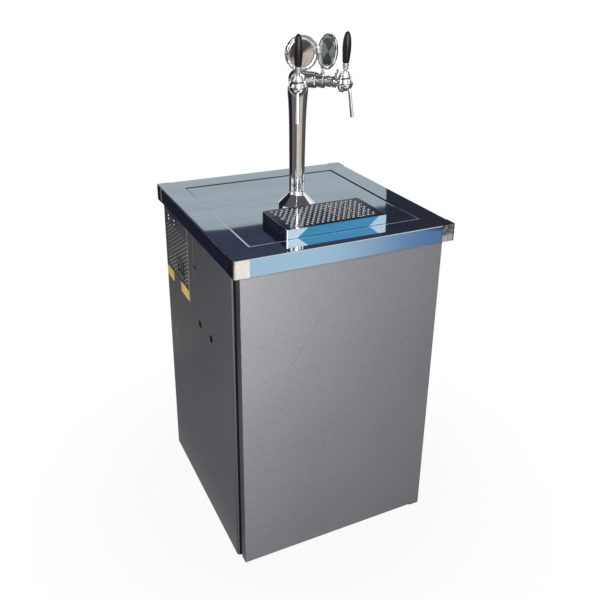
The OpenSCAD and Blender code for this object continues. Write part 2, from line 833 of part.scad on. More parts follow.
// Thermostat box under the chamber's ceiling, with its shaft to the front
module thermostat_housing() {
    color(white_tone) {
        box([thermo_x - 35, thermo_y, thermo_z - 15], [thermo_x + 35, thermo_y + 48, cham_ceil - liner_t]);
        translate([thermo_x, thermo_y + 1, thermo_z]) rotate([90, 0, 0]) cylinder(r = 3, h = 13);
    }
}

// Thermostat knob with a pointer rib
module thermostat_knob() {
    color(black) translate([thermo_x, thermo_y - 0.4, thermo_z]) rotate([90, 0, 0]) difference() {
        union() {
            cylinder(r = 14, h = 4);
            cylinder(r1 = 11.5, r2 = 10.5, h = 15);
            translate([0, 6, 15]) cube([2, 9, 1.2], center = true);
        }
        translate([0, 0, -1]) cylinder(r = 3 + fit, h = 13.5);
    }
}

// Controller: dark face plate on the vent cover, with its body inside
module controller_plate() {
    color(black) difference() {
        union() {
            along_x(-side_in - plate_t, -side_in) translate([plate_y, plate_z])
                round_rect(plate_w, plate_h, 2);
            translate([-side_in + 19, plate_y, plate_z])
                cube([40, plate_w - 17, plate_h - 6], center = true);
        }
        for (y = [-1, 1], z = [-1, 1])
            translate([-side_in - plate_t, plate_y + y * (plate_w / 2 - 4), plate_z + z * 5.5])
                rotate([0, 90, 0]) screw_hole(plate_t);
    }
}

rocker_y = inlet_y - 15;
socket_y = inlet_y + 13;

// Mains inlet: flange, body, recessed socket with three blades, and the window of the switch
module power_inlet() {
    color(black) {
        difference() {
            union() {
                along_x(-side_in - 2, -side_in) translate([inlet_y, inlet_z]) round_rect(inlet_w, inlet_h, 3);
                translate([-side_in + 15, inlet_y, inlet_z]) cube([32, inlet_w - 7, inlet_h - 7], center = true);
            }
            translate([-side_in + 7, socket_y, inlet_z]) cube([20, 19, 27], center = true);
            translate([-side_in + 7, rocker_y, inlet_z]) cube([20, 15, 30], center = true);
            translate([-side_in + 5, rocker_y - 10, inlet_z]) rotate([-90, 0, 0]) cylinder(r = 2 + fit, h = 20);
        }
        for (z = [-7, 0, 7])
            translate([-side_in + 10, socket_y + (z == 0 ? 3 : -2), inlet_z + z]) cube([15, 4, 2], center = true);
    }
}

// Switch rocker on its cross pin, drawn tipped to its off side
module power_rocker() {
    color(black) translate([-side_in + 5, rocker_y, inlet_z]) rotate([0, 7, 0]) {
        rotate([90, 0, 0]) linear_extrude(13.6, center = true)
            polygon([[-6, 0], [-8, 12.4], [-4, 13], [4, 5], [4, -5], [-4, -13], [-8, -12.4]]);
        rotate([90, 0, 0]) cylinder(r = 2, h = 18, center = true);
    }
}

// Sleeves that line the two ports through the left wall
module port_sleeves() {
    color(black) for (y = port_y)
        translate([-cab_w / 2 - 0.5, y, port_z]) rotate([0, 90, 0])
            tube(port_r, port_bore_r, wall_t + 1.5);
}

// Outer skin of the door, a folded pan open to the back
module door_skin() {
    half = door_w / 2;
    color(door_tone) difference() {
        box([-half, door_front, door_bot], [half, door_back, door_top]);
        box([-half + door_sheet, door_front + door_sheet, door_bot + door_sheet],
            [half - door_sheet, door_back + 1, door_top - door_sheet]);
        for (z = [door_bot - 2, door_top - 4])
            translate([hinge_x, hinge_y, z]) cylinder(r = bush_r - 1 + seat, h = 6);
    }
}

// Foam core of the door, filling the skin and the raised middle of the liner
module door_insulation() {
    half = door_w / 2 - door_sheet;
    color(foam_tone) difference() {
        union() {
            box([-half, door_front + door_sheet, door_bot + door_sheet],
                [half, door_back - door_liner_t, door_top - door_sheet]);
            box([-plug_x + door_liner_t, door_back - 5, plug_z0 + door_liner_t],
                [plug_x - door_liner_t, door_back + plug_d - door_liner_t, plug_z1 - door_liner_t]);
        }
        for (z = [door_bot - 1, door_top - 20])
            translate([hinge_x, hinge_y, z]) cylinder(r = bush_r - 1 + seat, h = 21);
    }
}

// Inner face of the door with its raised middle
module door_liner() {
    half = door_w / 2 - door_sheet;
    color(white_tone) difference() {
        union() {
            box([-half, door_back - door_liner_t, door_bot + door_sheet], [half, door_back, door_top - door_sheet]);
            box([-plug_x, door_back - 1, plug_z0], [plug_x, door_back + plug_d, plug_z1]);
        }
        box([-plug_x + door_liner_t, door_back - 5, plug_z0 + door_liner_t],
            [plug_x - door_liner_t, door_back + plug_d - door_liner_t, plug_z1 - door_liner_t]);
    }
}

// Door seal: a hollow frame that just meets the front frame
module door_gasket() {
    half = door_w / 2 - seal_in;
    z0 = door_bot + seal_in;
    z1 = door_top - seal_in;
    color(black) along_y(door_back, front_y - 0.3) difference() {
        translate([-half, z0]) square([2 * half, z1 - z0]);
        translate([-half + seal_w, z0 + seal_w]) square([2 * half - 2 * seal_w, z1 - z0 - 2 * seal_w]);
    }
}

// Flanged bushes for the hinge pins in the door's upper and lower edge
module door_bushes() {
    color(white_tone) translate([hinge_x, hinge_y, 0]) {
        translate([0, 0, door_top - 18]) tube(bush_r - 1, hinge_pin_r + fit, 18);
        translate([0, 0, door_top]) tube(bush_r, hinge_pin_r + fit, 1);
        translate([0, 0, door_bot]) tube(bush_r - 1, hinge_pin_r + fit, 18);
        translate([0, 0, door_bot - 1]) tube(bush_r, hinge_pin_r + fit, 1);
    }
}

// Drip tray with a ledge that carries the grid
module drip_tray() {
    y1 = tray_y0 + tray_d;
    mid = [tray_x, (tray_y0 + y1) / 2, 0];
    color(steel) translate(mid) difference() {
        translate([0, 0, tray_z]) linear_extrude(tray_h) round_rect(tray_w, tray_d, 3);
        translate([0, 0, tray_z + tray_t]) linear_extrude(tray_h)
            round_rect(tray_w - 2 * tray_t - 2 * ledge, tray_d - 2 * tray_t - 2 * ledge, 3);
        translate([0, 0, tray_z + tray_t]) linear_extrude(tray_h - grid_t - 2 * tray_t)
            round_rect(tray_w - 2 * tray_t, tray_d - 2 * tray_t, 2);
        translate([0, 0, grid_z]) linear_extrude(tray_h) round_rect(tray_w - 2 * tray_t, tray_d - 2 * tray_t, 2);
    }
}

// Perforated lift-out grid with staggered holes and one larger finger hole
module drip_grid() {
    w = tray_w - 2 * tray_t - 0.8;
    d = tray_d - 2 * tray_t - 0.8;
    columns = floor((w - 2 * ledge - 8) / hole_pitch / 2 - 0.25);
    rows = floor((d - 2 * ledge - 8) / row_pitch / 2);
    finger = [-w / 2 + 26, 0];
    color(steel) translate([tray_x, tray_y0 + tray_d / 2, grid_z]) linear_extrude(grid_t) difference() {
        round_rect(w, d, 1.6);
        for (j = [-rows : rows], i = [-columns : columns]) {
            place = [(i + (j % 2 == 0 ? 0.25 : -0.25)) * hole_pitch, j * row_pitch];
            if (norm(place - finger) > finger_r + hole_r + 1.5) translate(place) circle(hole_r);
        }
        translate(finger) circle(finger_r);
    }
}

// Rubber ring under the tower's base
module tower_seal() {
    color(black) translate([tower_x, tower_y, deck_z]) tube(base_r - 1, shank_r + 1, seal_t);
}

// Outer radius of the column at a share of its height above the flare
function column_r(t) = col_r + (col_top_r - col_r) * (0.35 * t + 0.65 * pow(t, 6));

// Outline of the column from the cone of its base to its upper end, moved in by a thickness
function column_line(inset) = concat(
    [[base_r - inset, base_rim - 0.4 * inset]],
    [for (a = [45 : -9 : 0]) [col_r + foot_flare * (1 - cos(a)) - inset, flare_z - foot_flare * sin(a)]],
    [for (i = [1 : 10]) [column_r(i / 10) - inset, flare_z + (col_h - flare_z) * i / 10]]);

// Column: upright rim, cone, and a slim tube that widens towards the head
module tower_column() {
    inner = column_line(col_wall);
    color(chrome_tone) translate([tower_x, tower_y, col_z]) rotate_extrude()
        polygon(concat([[shank_r + fit, 0], [base_r, 0]], column_line(0),
            [for (i = [len(inner) - 1 : -1 : 0]) inner[i]], [[base_r - col_wall, 6], [shank_r + fit, 6]]));
}

// Hollow threaded shank that clamps the tower to the worktop
module tower_shank() {
    color(steel) translate([tower_x, tower_y, 0]) {
        translate([0, 0, shank_z]) tube(shank_r, shank_r - 3, col_z + 6.2 - shank_z);
        translate([0, 0, col_z + 6.2]) tube(shank_r + 5, shank_r - 3, 3);
    }
}

// Clamp nut under the chamber's ceiling
module tower_nut() {
    z1 = cham_ceil - liner_t;
    color(steel) translate([tower_x, tower_y, z1 - 14]) {
        tube(shank_r + 9, shank_r + fit, 12);
        translate([0, 0, 12]) tube(shank_r + 16, shank_r + fit, 2);
    }
}

// Hollow V head on the column, with a socket for each arm
module tower_head() {
    color(chrome_tone) translate([tower_x, tower_y, arm_z]) difference() {
        union() {
            sphere(24.5);
            translate([0, 0, -arm_rise]) cylinder(r = col_top_r - 0.3, h = 5);
            translate([0, 0, -arm_rise]) cylinder(r = col_top_r - 2.5, h = arm_rise - 4);
            translate([0, 0, -arm_rise - 10]) cylinder(r = col_r + 1.3, h = 12);
            for (a = arm_angles) rotate([0, 90, a - 90]) cylinder(r = 20, h = socket_len);
        }
        sphere(19);
        translate([0, 0, -arm_rise - 11]) cylinder(r = col_r - 2, h = arm_rise + 11);
        for (a = arm_angles) rotate([0, 90, a - 90]) cylinder(r = 15 + seat / 2, h = socket_len + 1);
    }
}

// Two beer lines: along the arm, down the column and out below the clamp nut
module beer_lines() {
    color(white_tone) for (side = [0, 1]) at_arm(side) {
        pipe([[tap_reach - 44, 0, 0], [line_in[side], 0, 0], [line_in[side], 0, lines_z - arm_z + 20]], line_r);
        translate([line_in[side], 0, lines_z - arm_z]) cylinder(r = tail_r, h = tail_len);
    }
}

// Arm: turned tube with a lip, a ring for the stem and a coupling nut, drawn along +X
module tap_arm(side) {
    end = ring_in - 0.4;
    bore = neck_r + fit;
    wall = neck_r + 1.6;
    nut = end - 15;
    color(chrome_tone) difference() {
        rotate([0, 90, 0]) rotate_extrude() polygon([[6, 30], [15, 30], [15, socket_len], [18.6, socket_len],
            [18.6, socket_len + 4], [16.6, socket_len + 6.5], [16.6, stem_reach - 5], [17.8, stem_reach - 4.2],
            [17.8, stem_reach + 4.2], [wall, stem_reach + 6], [wall, nut], [wall + 1.4, nut + 0.8],
            [wall + 1.4, nut + 8.4], [wall, nut + 9.2], [wall, end], [bore, end], [bore, tap_reach - 44.4],
            [6, tap_reach - 44.4]]);
        at_stem(side) translate([0, 0, 10]) cylinder(r = stem_r + fit, h = 12);
    }
}

module tap_arm_left() {
    at_arm(0) tap_arm(0);
}

module tap_arm_right() {
    at_arm(1) tap_arm(1);
}

// Radius that the tilted lever needs at a height above its pivot
function sweep_r(h) = h * tan(lever_tilt) + lever_r / cos(lever_tilt) + 0.4;

// Room that the lever sweeps, drawn about its pivot
module lever_room() {
    foot = 2;
    top = bonnet_h + 0.5;
    sphere(pivot_r + 0.3);
    translate([0, 0, foot]) cylinder(r1 = sweep_r(foot), r2 = sweep_r(top), h = top - foot);
    rotate([90, 0, 0]) cylinder(r = tap_pin_r + fit, h = 3 * ball_r, center = true);
}

// Place of the spout's axis at the tap's level
spout_x = ball_r * 0.55;

// Places a piece drawn along a spout's axis, downward and away from the tap
module at_spout() {
    translate([spout_x, 0, 0]) rotate([0, 180 - spout_lean, 0]) children();
}

// Tap body: ball in a ring, with a neck into the arm, a bonnet around the lever and bores for beer and spout
module tap_body() {
    bonnet_top = sweep_r(bonnet_h) + 1.7;
    color(chrome_tone) difference() {
        union() {
            sphere(ball_r);
            rotate([0, -90, 0]) cylinder(r = neck_r, h = 44);
            translate([-11, 0, 0]) rotate([0, 90, 0]) rotate_extrude()
                polygon([[0, 0], [ring_r - 2, 0], [ring_r, 2], [ring_r, 7], [ring_r - 2, 9], [0, 9]]);
            translate([0, 0, pivot_z]) rotate_extrude()
                polygon([[0, -4], [bonnet_r, -4], [bonnet_r, 2], [bonnet_top, bonnet_h], [0, bonnet_h]]);
        }
        translate([0, 0, pivot_z]) lever_room();
        rotate([0, -90, 0]) cylinder(r = line_r + 0.5, h = 50);
        translate([0, 0, pivot_z]) rotate([0, 180, 0]) cylinder(r = line_r + 0.5, h = pivot_z);
        at_spout() translate([0, 0, 8.5]) cylinder(r = spout_r + fit, h = 40);
        at_spout() cylinder(r = spout_r - 1.2, h = 40);
        rotate([0, 90, 0]) cylinder(r = line_r, h = spout_x);
    }
}

module tap_body_left() {
    at_tap(0) tap_body();
}

module tap_body_right() {
    at_tap(1) tap_body();
}

// Spout: slim tube that leans outward, with a thicker end
module tap_spout() {
    color(chrome_tone) at_spout() difference() {
        union() {
            translate([0, 0, 9]) cylinder(r = spout_r, h = spout_drop - 9);
            translate([0, 0, spout_drop - tip_len]) cylinder(r = tip_r, h = tip_len);
        }
        cylinder(r = spout_r - 1.2, h = spout_drop + 1);
    }
}

module tap_spout_left() {
    at_tap(0) tap_spout();
}

module tap_spout_right() {
    at_tap(1) tap_spout();
}

// Lever: pivot ball on a cross pin, neck, collar with a ring, and the stud that holds the handle
module tap_lever() {
    top = collar_top - pivot_z;
    slim = collar_r - 0.7;
    color(chrome_tone) {
        sphere(pivot_r);
        rotate([90, 0, 0]) cylinder(r = tap_pin_r, h = 2 * bonnet_r - 0.6, center = true);
        cylinder(r = lever_r, h = collar_foot + 1);
        translate([0, 0, collar_foot]) cylinder(r1 = lever_r, r2 = slim, h = 3);
        translate([0, 0, collar_foot + 3]) cylinder(r = slim, h = top - collar_foot - 6);
        translate([0, 0, top - 9]) cylinder(r1 = slim, r2 = collar_r, h = 1.5);
        translate([0, 0, top - 7.5]) cylinder(r = collar_r, h = 6);
        translate([0, 0, top - 1.5]) cylinder(r1 = collar_r, r2 = collar_r - 1, h = 1.5 - seat);
        cylinder(r = 3.5, h = top + 14);
    }
}

module tap_lever_left() {
    at_lever(0) tap_lever();
}

module tap_lever_right() {
    at_lever(1) tap_lever();
}

// Radius of the handle at a share of its length
function grip_line(t) = t < grip_peak
    ? grip_r - (grip_r - grip_foot_r) * pow((grip_peak - t) / grip_peak, 1.6)
    : grip_r * sqrt(max(0, 1 - pow((t - grip_peak) / (1 - grip_peak), 2.5)));

// Handle: a slim bulb with a rounded tip
module tap_handle() {
    color(black) translate([0, 0, collar_top - pivot_z]) difference() {
        rotate_extrude() polygon(concat([[0, 0]],
            [for (i = [0 : 24]) [grip_line(i / 24), grip_h * i / 24]]));
        translate([0, 0, -1]) cylinder(r = 3.5 + fit, h = 15.4);
    }
}

module tap_handle_left() {
    at_lever(0) tap_handle();
}

module tap_handle_right() {
    at_lever(1) tap_handle();
}

// Flow lever: ring that turns on the tap's neck, with a short leaning tab
module flow_lever() {
    color(chrome_tone) difference() {
        union() {
            translate([-30, 0, 0]) rotate([0, 90, 0]) cylinder(r = 14, h = 6);
            translate([-27, 0, 10]) rotate([0, 22, 0]) {
                translate([0, 0, 9]) cube([4, 8, 18], center = true);
                translate([0, 0, 18]) rotate([0, 90, 0]) cylinder(r = 4, h = 4, center = true);
            }
        }
        translate([-40, 0, 0]) rotate([0, 90, 0]) cylinder(r = neck_r + fit, h = 20);
    }
}

module flow_lever_left() {
    at_tap(0) flow_lever();
}

module flow_lever_right() {
    at_tap(1) flow_lever();
}

// Stems that stand in the arms' rings and carry the medallions
module medallion_stems() {
    color(chrome_tone) for (side = [0, 1]) at_arm(side) at_stem(side) {
        translate([0, 0, 11]) cylinder(r = stem_r, h = medal_rise - 11);
        translate([0, 0, 18]) cylinder(r = stem_r + 2, h = 4);
    }
}

// Medallion: plain spun dish with a raised rim, and the tube on its back that turns on the stem
module medallion(back) {
    foot = medal_rise - medal_r + 1;
    hub_r = stem_r + 2.2;
    color(chrome_tone) difference() {
        union() {
            translate([back, 0, medal_rise]) rotate([0, 90, 0]) rotate_extrude() polygon([[0, 0], [medal_r - 1, 0],
                [medal_r, 1], [medal_r, 5], [medal_r - 1, 6], [medal_r - 2.6, 6], [medal_r - 4, 4.4],
                [medal_r - 7, 2.6], [medal_r - 8, 2.6], [medal_r - 9, 3.6], [medal_r - 10.4, 3.6],
                [medal_r - 11.4, 2.8], [0, 2.8]]);
            translate([0, 0, foot]) cylinder(r = hub_r, h = medal_rise + 4 - foot);
            box([0, -hub_r, foot + 12], [back + 1, hub_r, medal_rise + 4]);
        }
        translate([0, 0, foot - 1]) cylinder(r = stem_r + fit, h = medal_rise - foot + 1.4);
    }
}

module medallion_left() {
    at_medallion(0) medallion(stem_backs[0]);
}

module medallion_right() {
    at_medallion(1) medallion(stem_backs[1]);
}

worktop();
worktop_core();
corner_caps();
worktop_brackets();
left_side_panel();
right_side_panel();
back_panel();
base_pan();
front_frame();
insulation_boards();
inner_liner();
floor_plate();
levelling_feet();
vent_covers();
panel_screws();
hinge_bracket_top();
hinge_bracket_bottom();
bay_tray();
compressor();
compressor_mounts();
condenser();
fan_shroud();
fan_motor();
condenser_fan();
refrigerant_pipes();
evaporator_plate();
thermostat_housing();
thermostat_knob();
controller_plate();
power_inlet();
power_rocker();
port_sleeves();
door_skin();
door_insulation();
door_liner();
door_gasket();
door_bushes();
drip_tray();
drip_grid();
tower_seal();
tower_column();
tower_shank();
tower_nut();
tower_head();
beer_lines();
tap_arm_left();
tap_arm_right();
tap_body_left();
tap_body_right();
tap_spout_left();
tap_spout_right();
tap_lever_left();
tap_lever_right();
tap_handle_left();
tap_handle_right();
flow_lever_left();
flow_lever_right();
medallion_stems();
medallion_left();
medallion_right();
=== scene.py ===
import json
import math
import bmesh
import bpy
from mathutils import Matrix, Vector


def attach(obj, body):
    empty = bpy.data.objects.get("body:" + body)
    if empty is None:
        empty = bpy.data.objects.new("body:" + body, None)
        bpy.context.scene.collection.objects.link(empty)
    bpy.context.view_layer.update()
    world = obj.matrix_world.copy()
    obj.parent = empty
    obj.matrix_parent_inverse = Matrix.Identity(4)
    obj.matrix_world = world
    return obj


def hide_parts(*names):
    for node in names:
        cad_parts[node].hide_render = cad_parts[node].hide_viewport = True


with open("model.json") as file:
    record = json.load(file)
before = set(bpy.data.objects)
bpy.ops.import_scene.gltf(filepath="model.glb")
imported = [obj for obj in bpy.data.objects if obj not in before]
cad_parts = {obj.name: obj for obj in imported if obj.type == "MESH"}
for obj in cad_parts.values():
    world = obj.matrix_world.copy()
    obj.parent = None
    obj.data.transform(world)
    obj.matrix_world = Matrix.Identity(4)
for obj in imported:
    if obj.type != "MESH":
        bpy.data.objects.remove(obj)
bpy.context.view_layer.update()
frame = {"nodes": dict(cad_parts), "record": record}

# Keg cooler with a two-tap tower: looks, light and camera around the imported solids
MM = 0.001
nodes = frame["nodes"]
bodies = frame["record"]["behaviour"]["bodies"]
body_of = {node: body for body, members in bodies.items() for node in members}
slot_of = {name: node.material_slots[0].material.name.split(".")[0] for name, node in nodes.items()}


# Shader maths

class Wire:
    """One value in a node tree. Sums and products of wires add Math nodes."""

    def __init__(self, tree, socket=None):
        self.tree = tree
        self.socket = socket

    def node(self, kind, settings, values, output=0):
        """Adds a node: its settings first, then the values or links of its sockets."""
        made = self.tree.nodes.new(kind)
        for key, value in settings.items():
            setattr(made, key, value)
        fill(self.tree, made.inputs, values)
        if output is None:
            return None
        return Wire(self.tree, pick(made.outputs, output))

    def maths(self, operation, first, second=0.0, third=0.0):
        """Adds a Math node on wires or numbers."""
        return self.node("ShaderNodeMath", {"operation": operation}, {0: first, 1: second, 2: third})

    def __add__(self, other):
        return self.maths("ADD", self, other)

    def __radd__(self, other):
        return self.maths("ADD", other, self)

    def __sub__(self, other):
        return self.maths("SUBTRACT", self, other)

    def __rsub__(self, other):
        return self.maths("SUBTRACT", other, self)

    def __mul__(self, other):
        return self.maths("MULTIPLY", self, other)

    def __rmul__(self, other):
        return self.maths("MULTIPLY", other, self)

    def step(self, low, high):
        """0 below low, 1 above high, smooth between."""
        return self.node("ShaderNodeMapRange", {"interpolation_type": "SMOOTHSTEP"},
                         {"Value": self, "From Min": low, "From Max": high})

    def fade(self, low, high):
        """1 below low, 0 above high, smooth between."""
        return 1.0 - self.step(low, high)

    def band(self, low, high, soft):
        """1 from low to high, with edges of a soft width."""
        return self.step(low, low + soft) * self.fade(high, high + soft)

    def away(self):
        """Distance from zero."""
        return self.maths("ABSOLUTE", self)

    def blend(self, first, second):
        """Colour first where this wire is 0, colour second where it is 1."""
        return self.node("ShaderNodeMix", {"data_type": "RGBA"},
                         {"Factor_Float": self, "A_Color": first, "B_Color": second}, "Result_Color")

    def noise(self, scale, detail=2.0, stretch=(1.0, 1.0, 1.0)):
        """Noise between 0 and 1 on this place; scale counts blobs in a metre."""
        place = self.node("ShaderNodeMapping", {}, {"Vector": self, "Scale": stretch})
        return self.node("ShaderNodeTexNoise", {}, {"Vector": place, "Scale": scale, "Detail": detail})

    def axis(self, letter):
        """One of the three numbers of this place."""
        return self.node("ShaderNodeSeparateXYZ", {}, {"Vector": self}, letter)


def pick(sockets, key):
    """A socket by number, identifier or name."""
    if isinstance(key, int):
        return sockets[key]
    for socket in sockets:
        if socket.identifier == key:
            return socket
    return sockets[key]


def fill(tree, sockets, values):
    """Sets the values or the links of a node's sockets."""
    for key, value in values.items():
        socket = pick(sockets, key)
        if isinstance(value, Wire):
            tree.links.new(value.socket, socket)
        else:
            socket.default_value = value


def rgb(red, green, blue):
    """An opaque colour from linear shares of red, green and blue."""
    return (red, green, blue, 1.0)


def start_finish(name):
    """A new material with its shader and the place on the piece, in metres."""
    finish = bpy.data.materials.new(name)
    finish.use_nodes = True
    tree = finish.node_tree
    shader = tree.nodes["Principled BSDF"]
    place = Wire(tree).node("ShaderNodeTexCoord", {}, {}, "Object")
    return finish, shader, place


def bare_nodes(owner):
    """Empties the nodes of a material or a world; the wire it gives adds new ones."""
    owner.use_nodes = True
    owner.node_tree.nodes.clear()
    return Wire(owner.node_tree)


def feed(shader, place, values):
    """Sets or links the sockets of a finish's shader."""
    fill(place.tree, shader.inputs, values)


def bump(place, height, depth, strength=1.0):
    """A normal from a height; its depth is in metres."""
    return place.node("ShaderNodeBump", {}, {"Height": height, "Distance": depth, "Strength": strength})


# Shine of baked paint, and the depth of its orange peel in metres
coat_shine = 0.22
peel_depth = 0.00006

# Stretch of the noise that draws brushed lines along X
brushed_across = (0.1, 4.0, 4.0)


def coat_marks(place):
    """Faint cloudiness, fine orange peel and a few rub marks of baked paint."""
    cloud = place.noise(3.0, 3.0)
    grain = place.noise(1400.0, 1.0)
    rub = place.noise(22.0, 5.0, (1.0, 1.0, 0.25)).step(0.62, 0.80)
    return cloud, grain, rub


def coat_mottle(place):
    """Fine unevenness that shows on the large painted sheets."""
    return place.noise(130.0, 3.0, (1.0, 1.0, 1.6))


def coat_finish(name, dark, light, rough):
    """Baked paint on sheet steel."""
    finish, shader, place = start_finish(name)
    cloud, grain, rub = coat_marks(place)
    tone = cloud * 0.7 + grain * 0.3
    feed(shader, place, {
        "Base Color": tone.step(0.25, 0.75).blend(dark, light),
        "Roughness": grain * 0.16 + cloud * 0.08 + (rough - 0.12) - rub * 0.06,
        "Specular IOR Level": coat_shine,
        "Normal": bump(place, grain, peel_depth),
    })
    return finish


def steel_finish(name, dark, light, rough, brush, brush_depth=0.000004):
    """Bare metal with fine drawn lines, faint smears and small scratches."""
    finish, shader, place = start_finish(name)
    smear = place.noise(9.0, 4.0)
    lines = place.noise(60.0, 3.0, brush)
    scratch = place.noise(160.0, 2.0, (brush[1], brush[0], brush[2])).step(0.70, 0.78)
    feed(shader, place, {
        "Base Color": (smear * 0.5 + lines * 0.5).step(0.3, 0.7).blend(dark, light),
        "Metallic": 1.0,
        "Roughness": smear * 0.08 + lines * 0.06 + scratch * 0.08 + (rough - 0.07),
        "Normal": bump(place, lines, brush_depth),
    })
    return finish


def plastic_finish(name, dark, light, rough, grain_size=900.0, shine=0.0):
    """Moulded plastic with a fine spark-eroded grain and a slightly uneven gloss."""
    finish, shader, place = start_finish(name)
    cloud = place.noise(12.0, 3.0)
    grain = place.noise(grain_size, 2.0)
    feed(shader, place, {
        "Base Color": (cloud * 0.6 + grain * 0.4).step(0.3, 0.7).blend(dark, light),
        "Roughness": grain * 0.14 + cloud * 0.08 + (rough - 0.11),
        "Coat Weight": shine,
        "Normal": bump(place, grain, 0.00003),
    })
    return finish


def handle_finish():
    """Polished black handle plastic with faint rub marks and little haze."""
    finish, shader, place = start_finish("handle_black")
    cloud = place.noise(60.0, 3.0)
    rub = place.noise(900.0, 2.0)
    feed(shader, place, {
        "Base Color": cloud.step(0.3, 0.7).blend(rgb(0.003, 0.003, 0.0035), rgb(0.007, 0.007, 0.0075)),
        "Roughness": cloud * 0.08 + rub * 0.06 + 0.24,
        "Specular IOR Level": 0.36,
        "Normal": bump(place, rub, 0.000004),
    })
    return finish


def foam_finish(name, dark, light):
    """Rigid foam: closed cells and darker voids."""
    finish, shader, place = start_finish(name)
    cells = place.node("ShaderNodeTexVoronoi", {}, {"Vector": place, "Scale": 420.0}, "Distance")
    cloud = place.noise(14.0, 4.0)
    feed(shader, place, {
        "Base Color": (cells * 0.5 + cloud * 0.5).step(0.2, 0.7).blend(light, dark),
        "Roughness": cloud * 0.1 + 0.82,
        "Normal": bump(place, cells, 0.0006, 0.6),
    })
    return finish


def board_finish(name):
    """Particle board: pressed chips in several browns."""
    finish, shader, place = start_finish(name)
    flat = place.node("ShaderNodeMapping", {}, {"Vector": place, "Scale": (1.0, 1.0, 3.0)})
    chips = place.node("ShaderNodeTexVoronoi", {}, {"Vector": flat, "Scale": 260.0}, "Color")
    tone = chips.axis("X")
    fibre = place.noise(700.0, 2.0)
    feed(shader, place, {
        "Base Color": (tone * 0.7 + fibre * 0.3).blend(rgb(0.22, 0.13, 0.06), rgb(0.48, 0.33, 0.18)),
        "Roughness": fibre * 0.2 + 0.65,
        "Normal": bump(place, tone, 0.0003, 0.5),
    })
    return finish


def worktop_finish():
    """Mirror steel under clear blue film. Painted shade darkens the film on the front edge from left to
    right; a painted highlight lies along the front fold of the deck and painted shade along its right fold.
    """
    front_fold, right_fold, fold_soft = (-0.2486, -0.2424), (0.2330, 0.2382), 0.0006
    fold_end_x, fold_end_y = (0.2370, 0.2380), (0.2450, 0.2460)
    front_face, under_rim = (-0.3125, -0.3110), (0.9214, 0.9220)
    finish, shader, place = start_finish("worktop_film_steel")
    across, along, up = place.axis("X"), place.axis("Y"), place.axis("Z")
    smear = place.noise(5.0, 5.0, (1.0, 2.5, 1.0))
    streak = place.noise(30.0, 3.0, (0.15, 3.0, 1.0))
    crease = place.noise(14.0, 2.0, (0.4, 2.0, 1.0)).step(0.60, 0.72)
    top = (smear * 0.7 + streak * 0.3).step(0.3, 0.7).blend(rgb(0.66, 0.71, 0.74), rgb(0.78, 0.82, 0.84))
    # Painted shade: the front edge's film goes from light blue on the left to dark navy on the right.
    edge = across.step(-0.12, 0.26).blend(rgb(0.335, 0.505, 0.65), rgb(0.078, 0.17, 0.35))
    front = along.fade(*front_face) * up.fade(*under_rim)
    # Painted highlight: a near white, rough line along the front fold of the deck.
    painted_fold_highlight = along.band(*front_fold, fold_soft) * across.away().fade(*fold_end_x)
    # Painted shade: a dark line along the right fold of the deck.
    painted_fold_shade = across.band(*right_fold, fold_soft) * along.away().fade(*fold_end_y)
    bare = painted_fold_highlight.blend(top, rgb(0.94, 0.95, 0.96))
    feed(shader, place, {
        "Base Color": painted_fold_shade.blend(front.blend(bare, edge), rgb(0.10, 0.12, 0.17)),
        "Metallic": 1.0,
        "Roughness": smear * 0.03 + streak * 0.02 + crease * 0.03 + painted_fold_highlight * 0.45 + 0.01,
        "Normal": bump(place, smear + crease * 0.2, 0.00006, 0.25),
    })
    return finish


def tray_finish():
    """Drip tray: steel with slant-cut blue film left on the front, pale satin steel inside."""
    slant, slant_z, cut_soft = 1.25, 0.935, 0.004
    film_left, film_right = -0.098, 0.100
    well_x, well_y, well_soft = 0.1368, 0.0722, 0.0004
    well_mid_x, well_mid_y = 0.001, -0.166
    front_face = (-0.2402, -0.2395)
    finish, shader, place = start_finish("tray_film_steel")
    across, along, up = place.axis("X"), place.axis("Y"), place.axis("Z")
    smear = place.noise(16.0, 4.0)
    lines = place.noise(60.0, 3.0, brushed_across)
    plain = (smear * 0.6 + lines * 0.4).step(0.3, 0.7).blend(rgb(0.62, 0.67, 0.71), rgb(0.72, 0.77, 0.80))
    front = along.fade(*front_face)
    slope = across - up * slant + slant_z * slant
    film = slope.band(film_left, film_right, cut_soft) * front
    clear = across.step(-0.12, 0.12).blend(rgb(0.64, 0.82, 0.94), rgb(0.56, 0.74, 0.88))
    bare = front.blend(plain, clear)
    shade = across.step(-0.10, 0.10).blend(rgb(0.070, 0.31, 0.52), rgb(0.085, 0.32, 0.57))
    within_x = (across - well_mid_x).away().fade(well_x, well_x + well_soft)
    within_y = (along - well_mid_y).away().fade(well_y, well_y + well_soft)
    well = within_x * within_y
    pale = smear.blend(rgb(0.74, 0.78, 0.82), rgb(0.84, 0.88, 0.92))
    feed(shader, place, {
        "Base Color": well.blend(film.blend(bare, shade), pale),
        "Metallic": 1.0 - well * 0.8,
        "Roughness": smear * 0.08 + lines * 0.05 + film * 0.05 + 0.07,
        "Normal": bump(place, lines, 0.000004),
    })
    return finish


def chrome_finish(name, dark, light, rough):
    """Polished chrome with faint finger smears and water spots."""
    finish, shader, place = start_finish(name)
    smear = place.noise(40.0, 4.0)
    spots = place.node("ShaderNodeTexVoronoi", {}, {"Vector": place, "Scale": 160.0}, "Distance")
    ring = spots.band(0.10, 0.18, 0.06)
    feed(shader, place, {
        "Base Color": smear.step(0.3, 0.7).blend(dark, light),
        "Metallic": 1.0,
        "Roughness": smear.step(0.45, 0.75) * 0.06 + ring * 0.03 + rough,
        "Normal": bump(place, smear, 0.000015, 0.5),
    })
    return finish


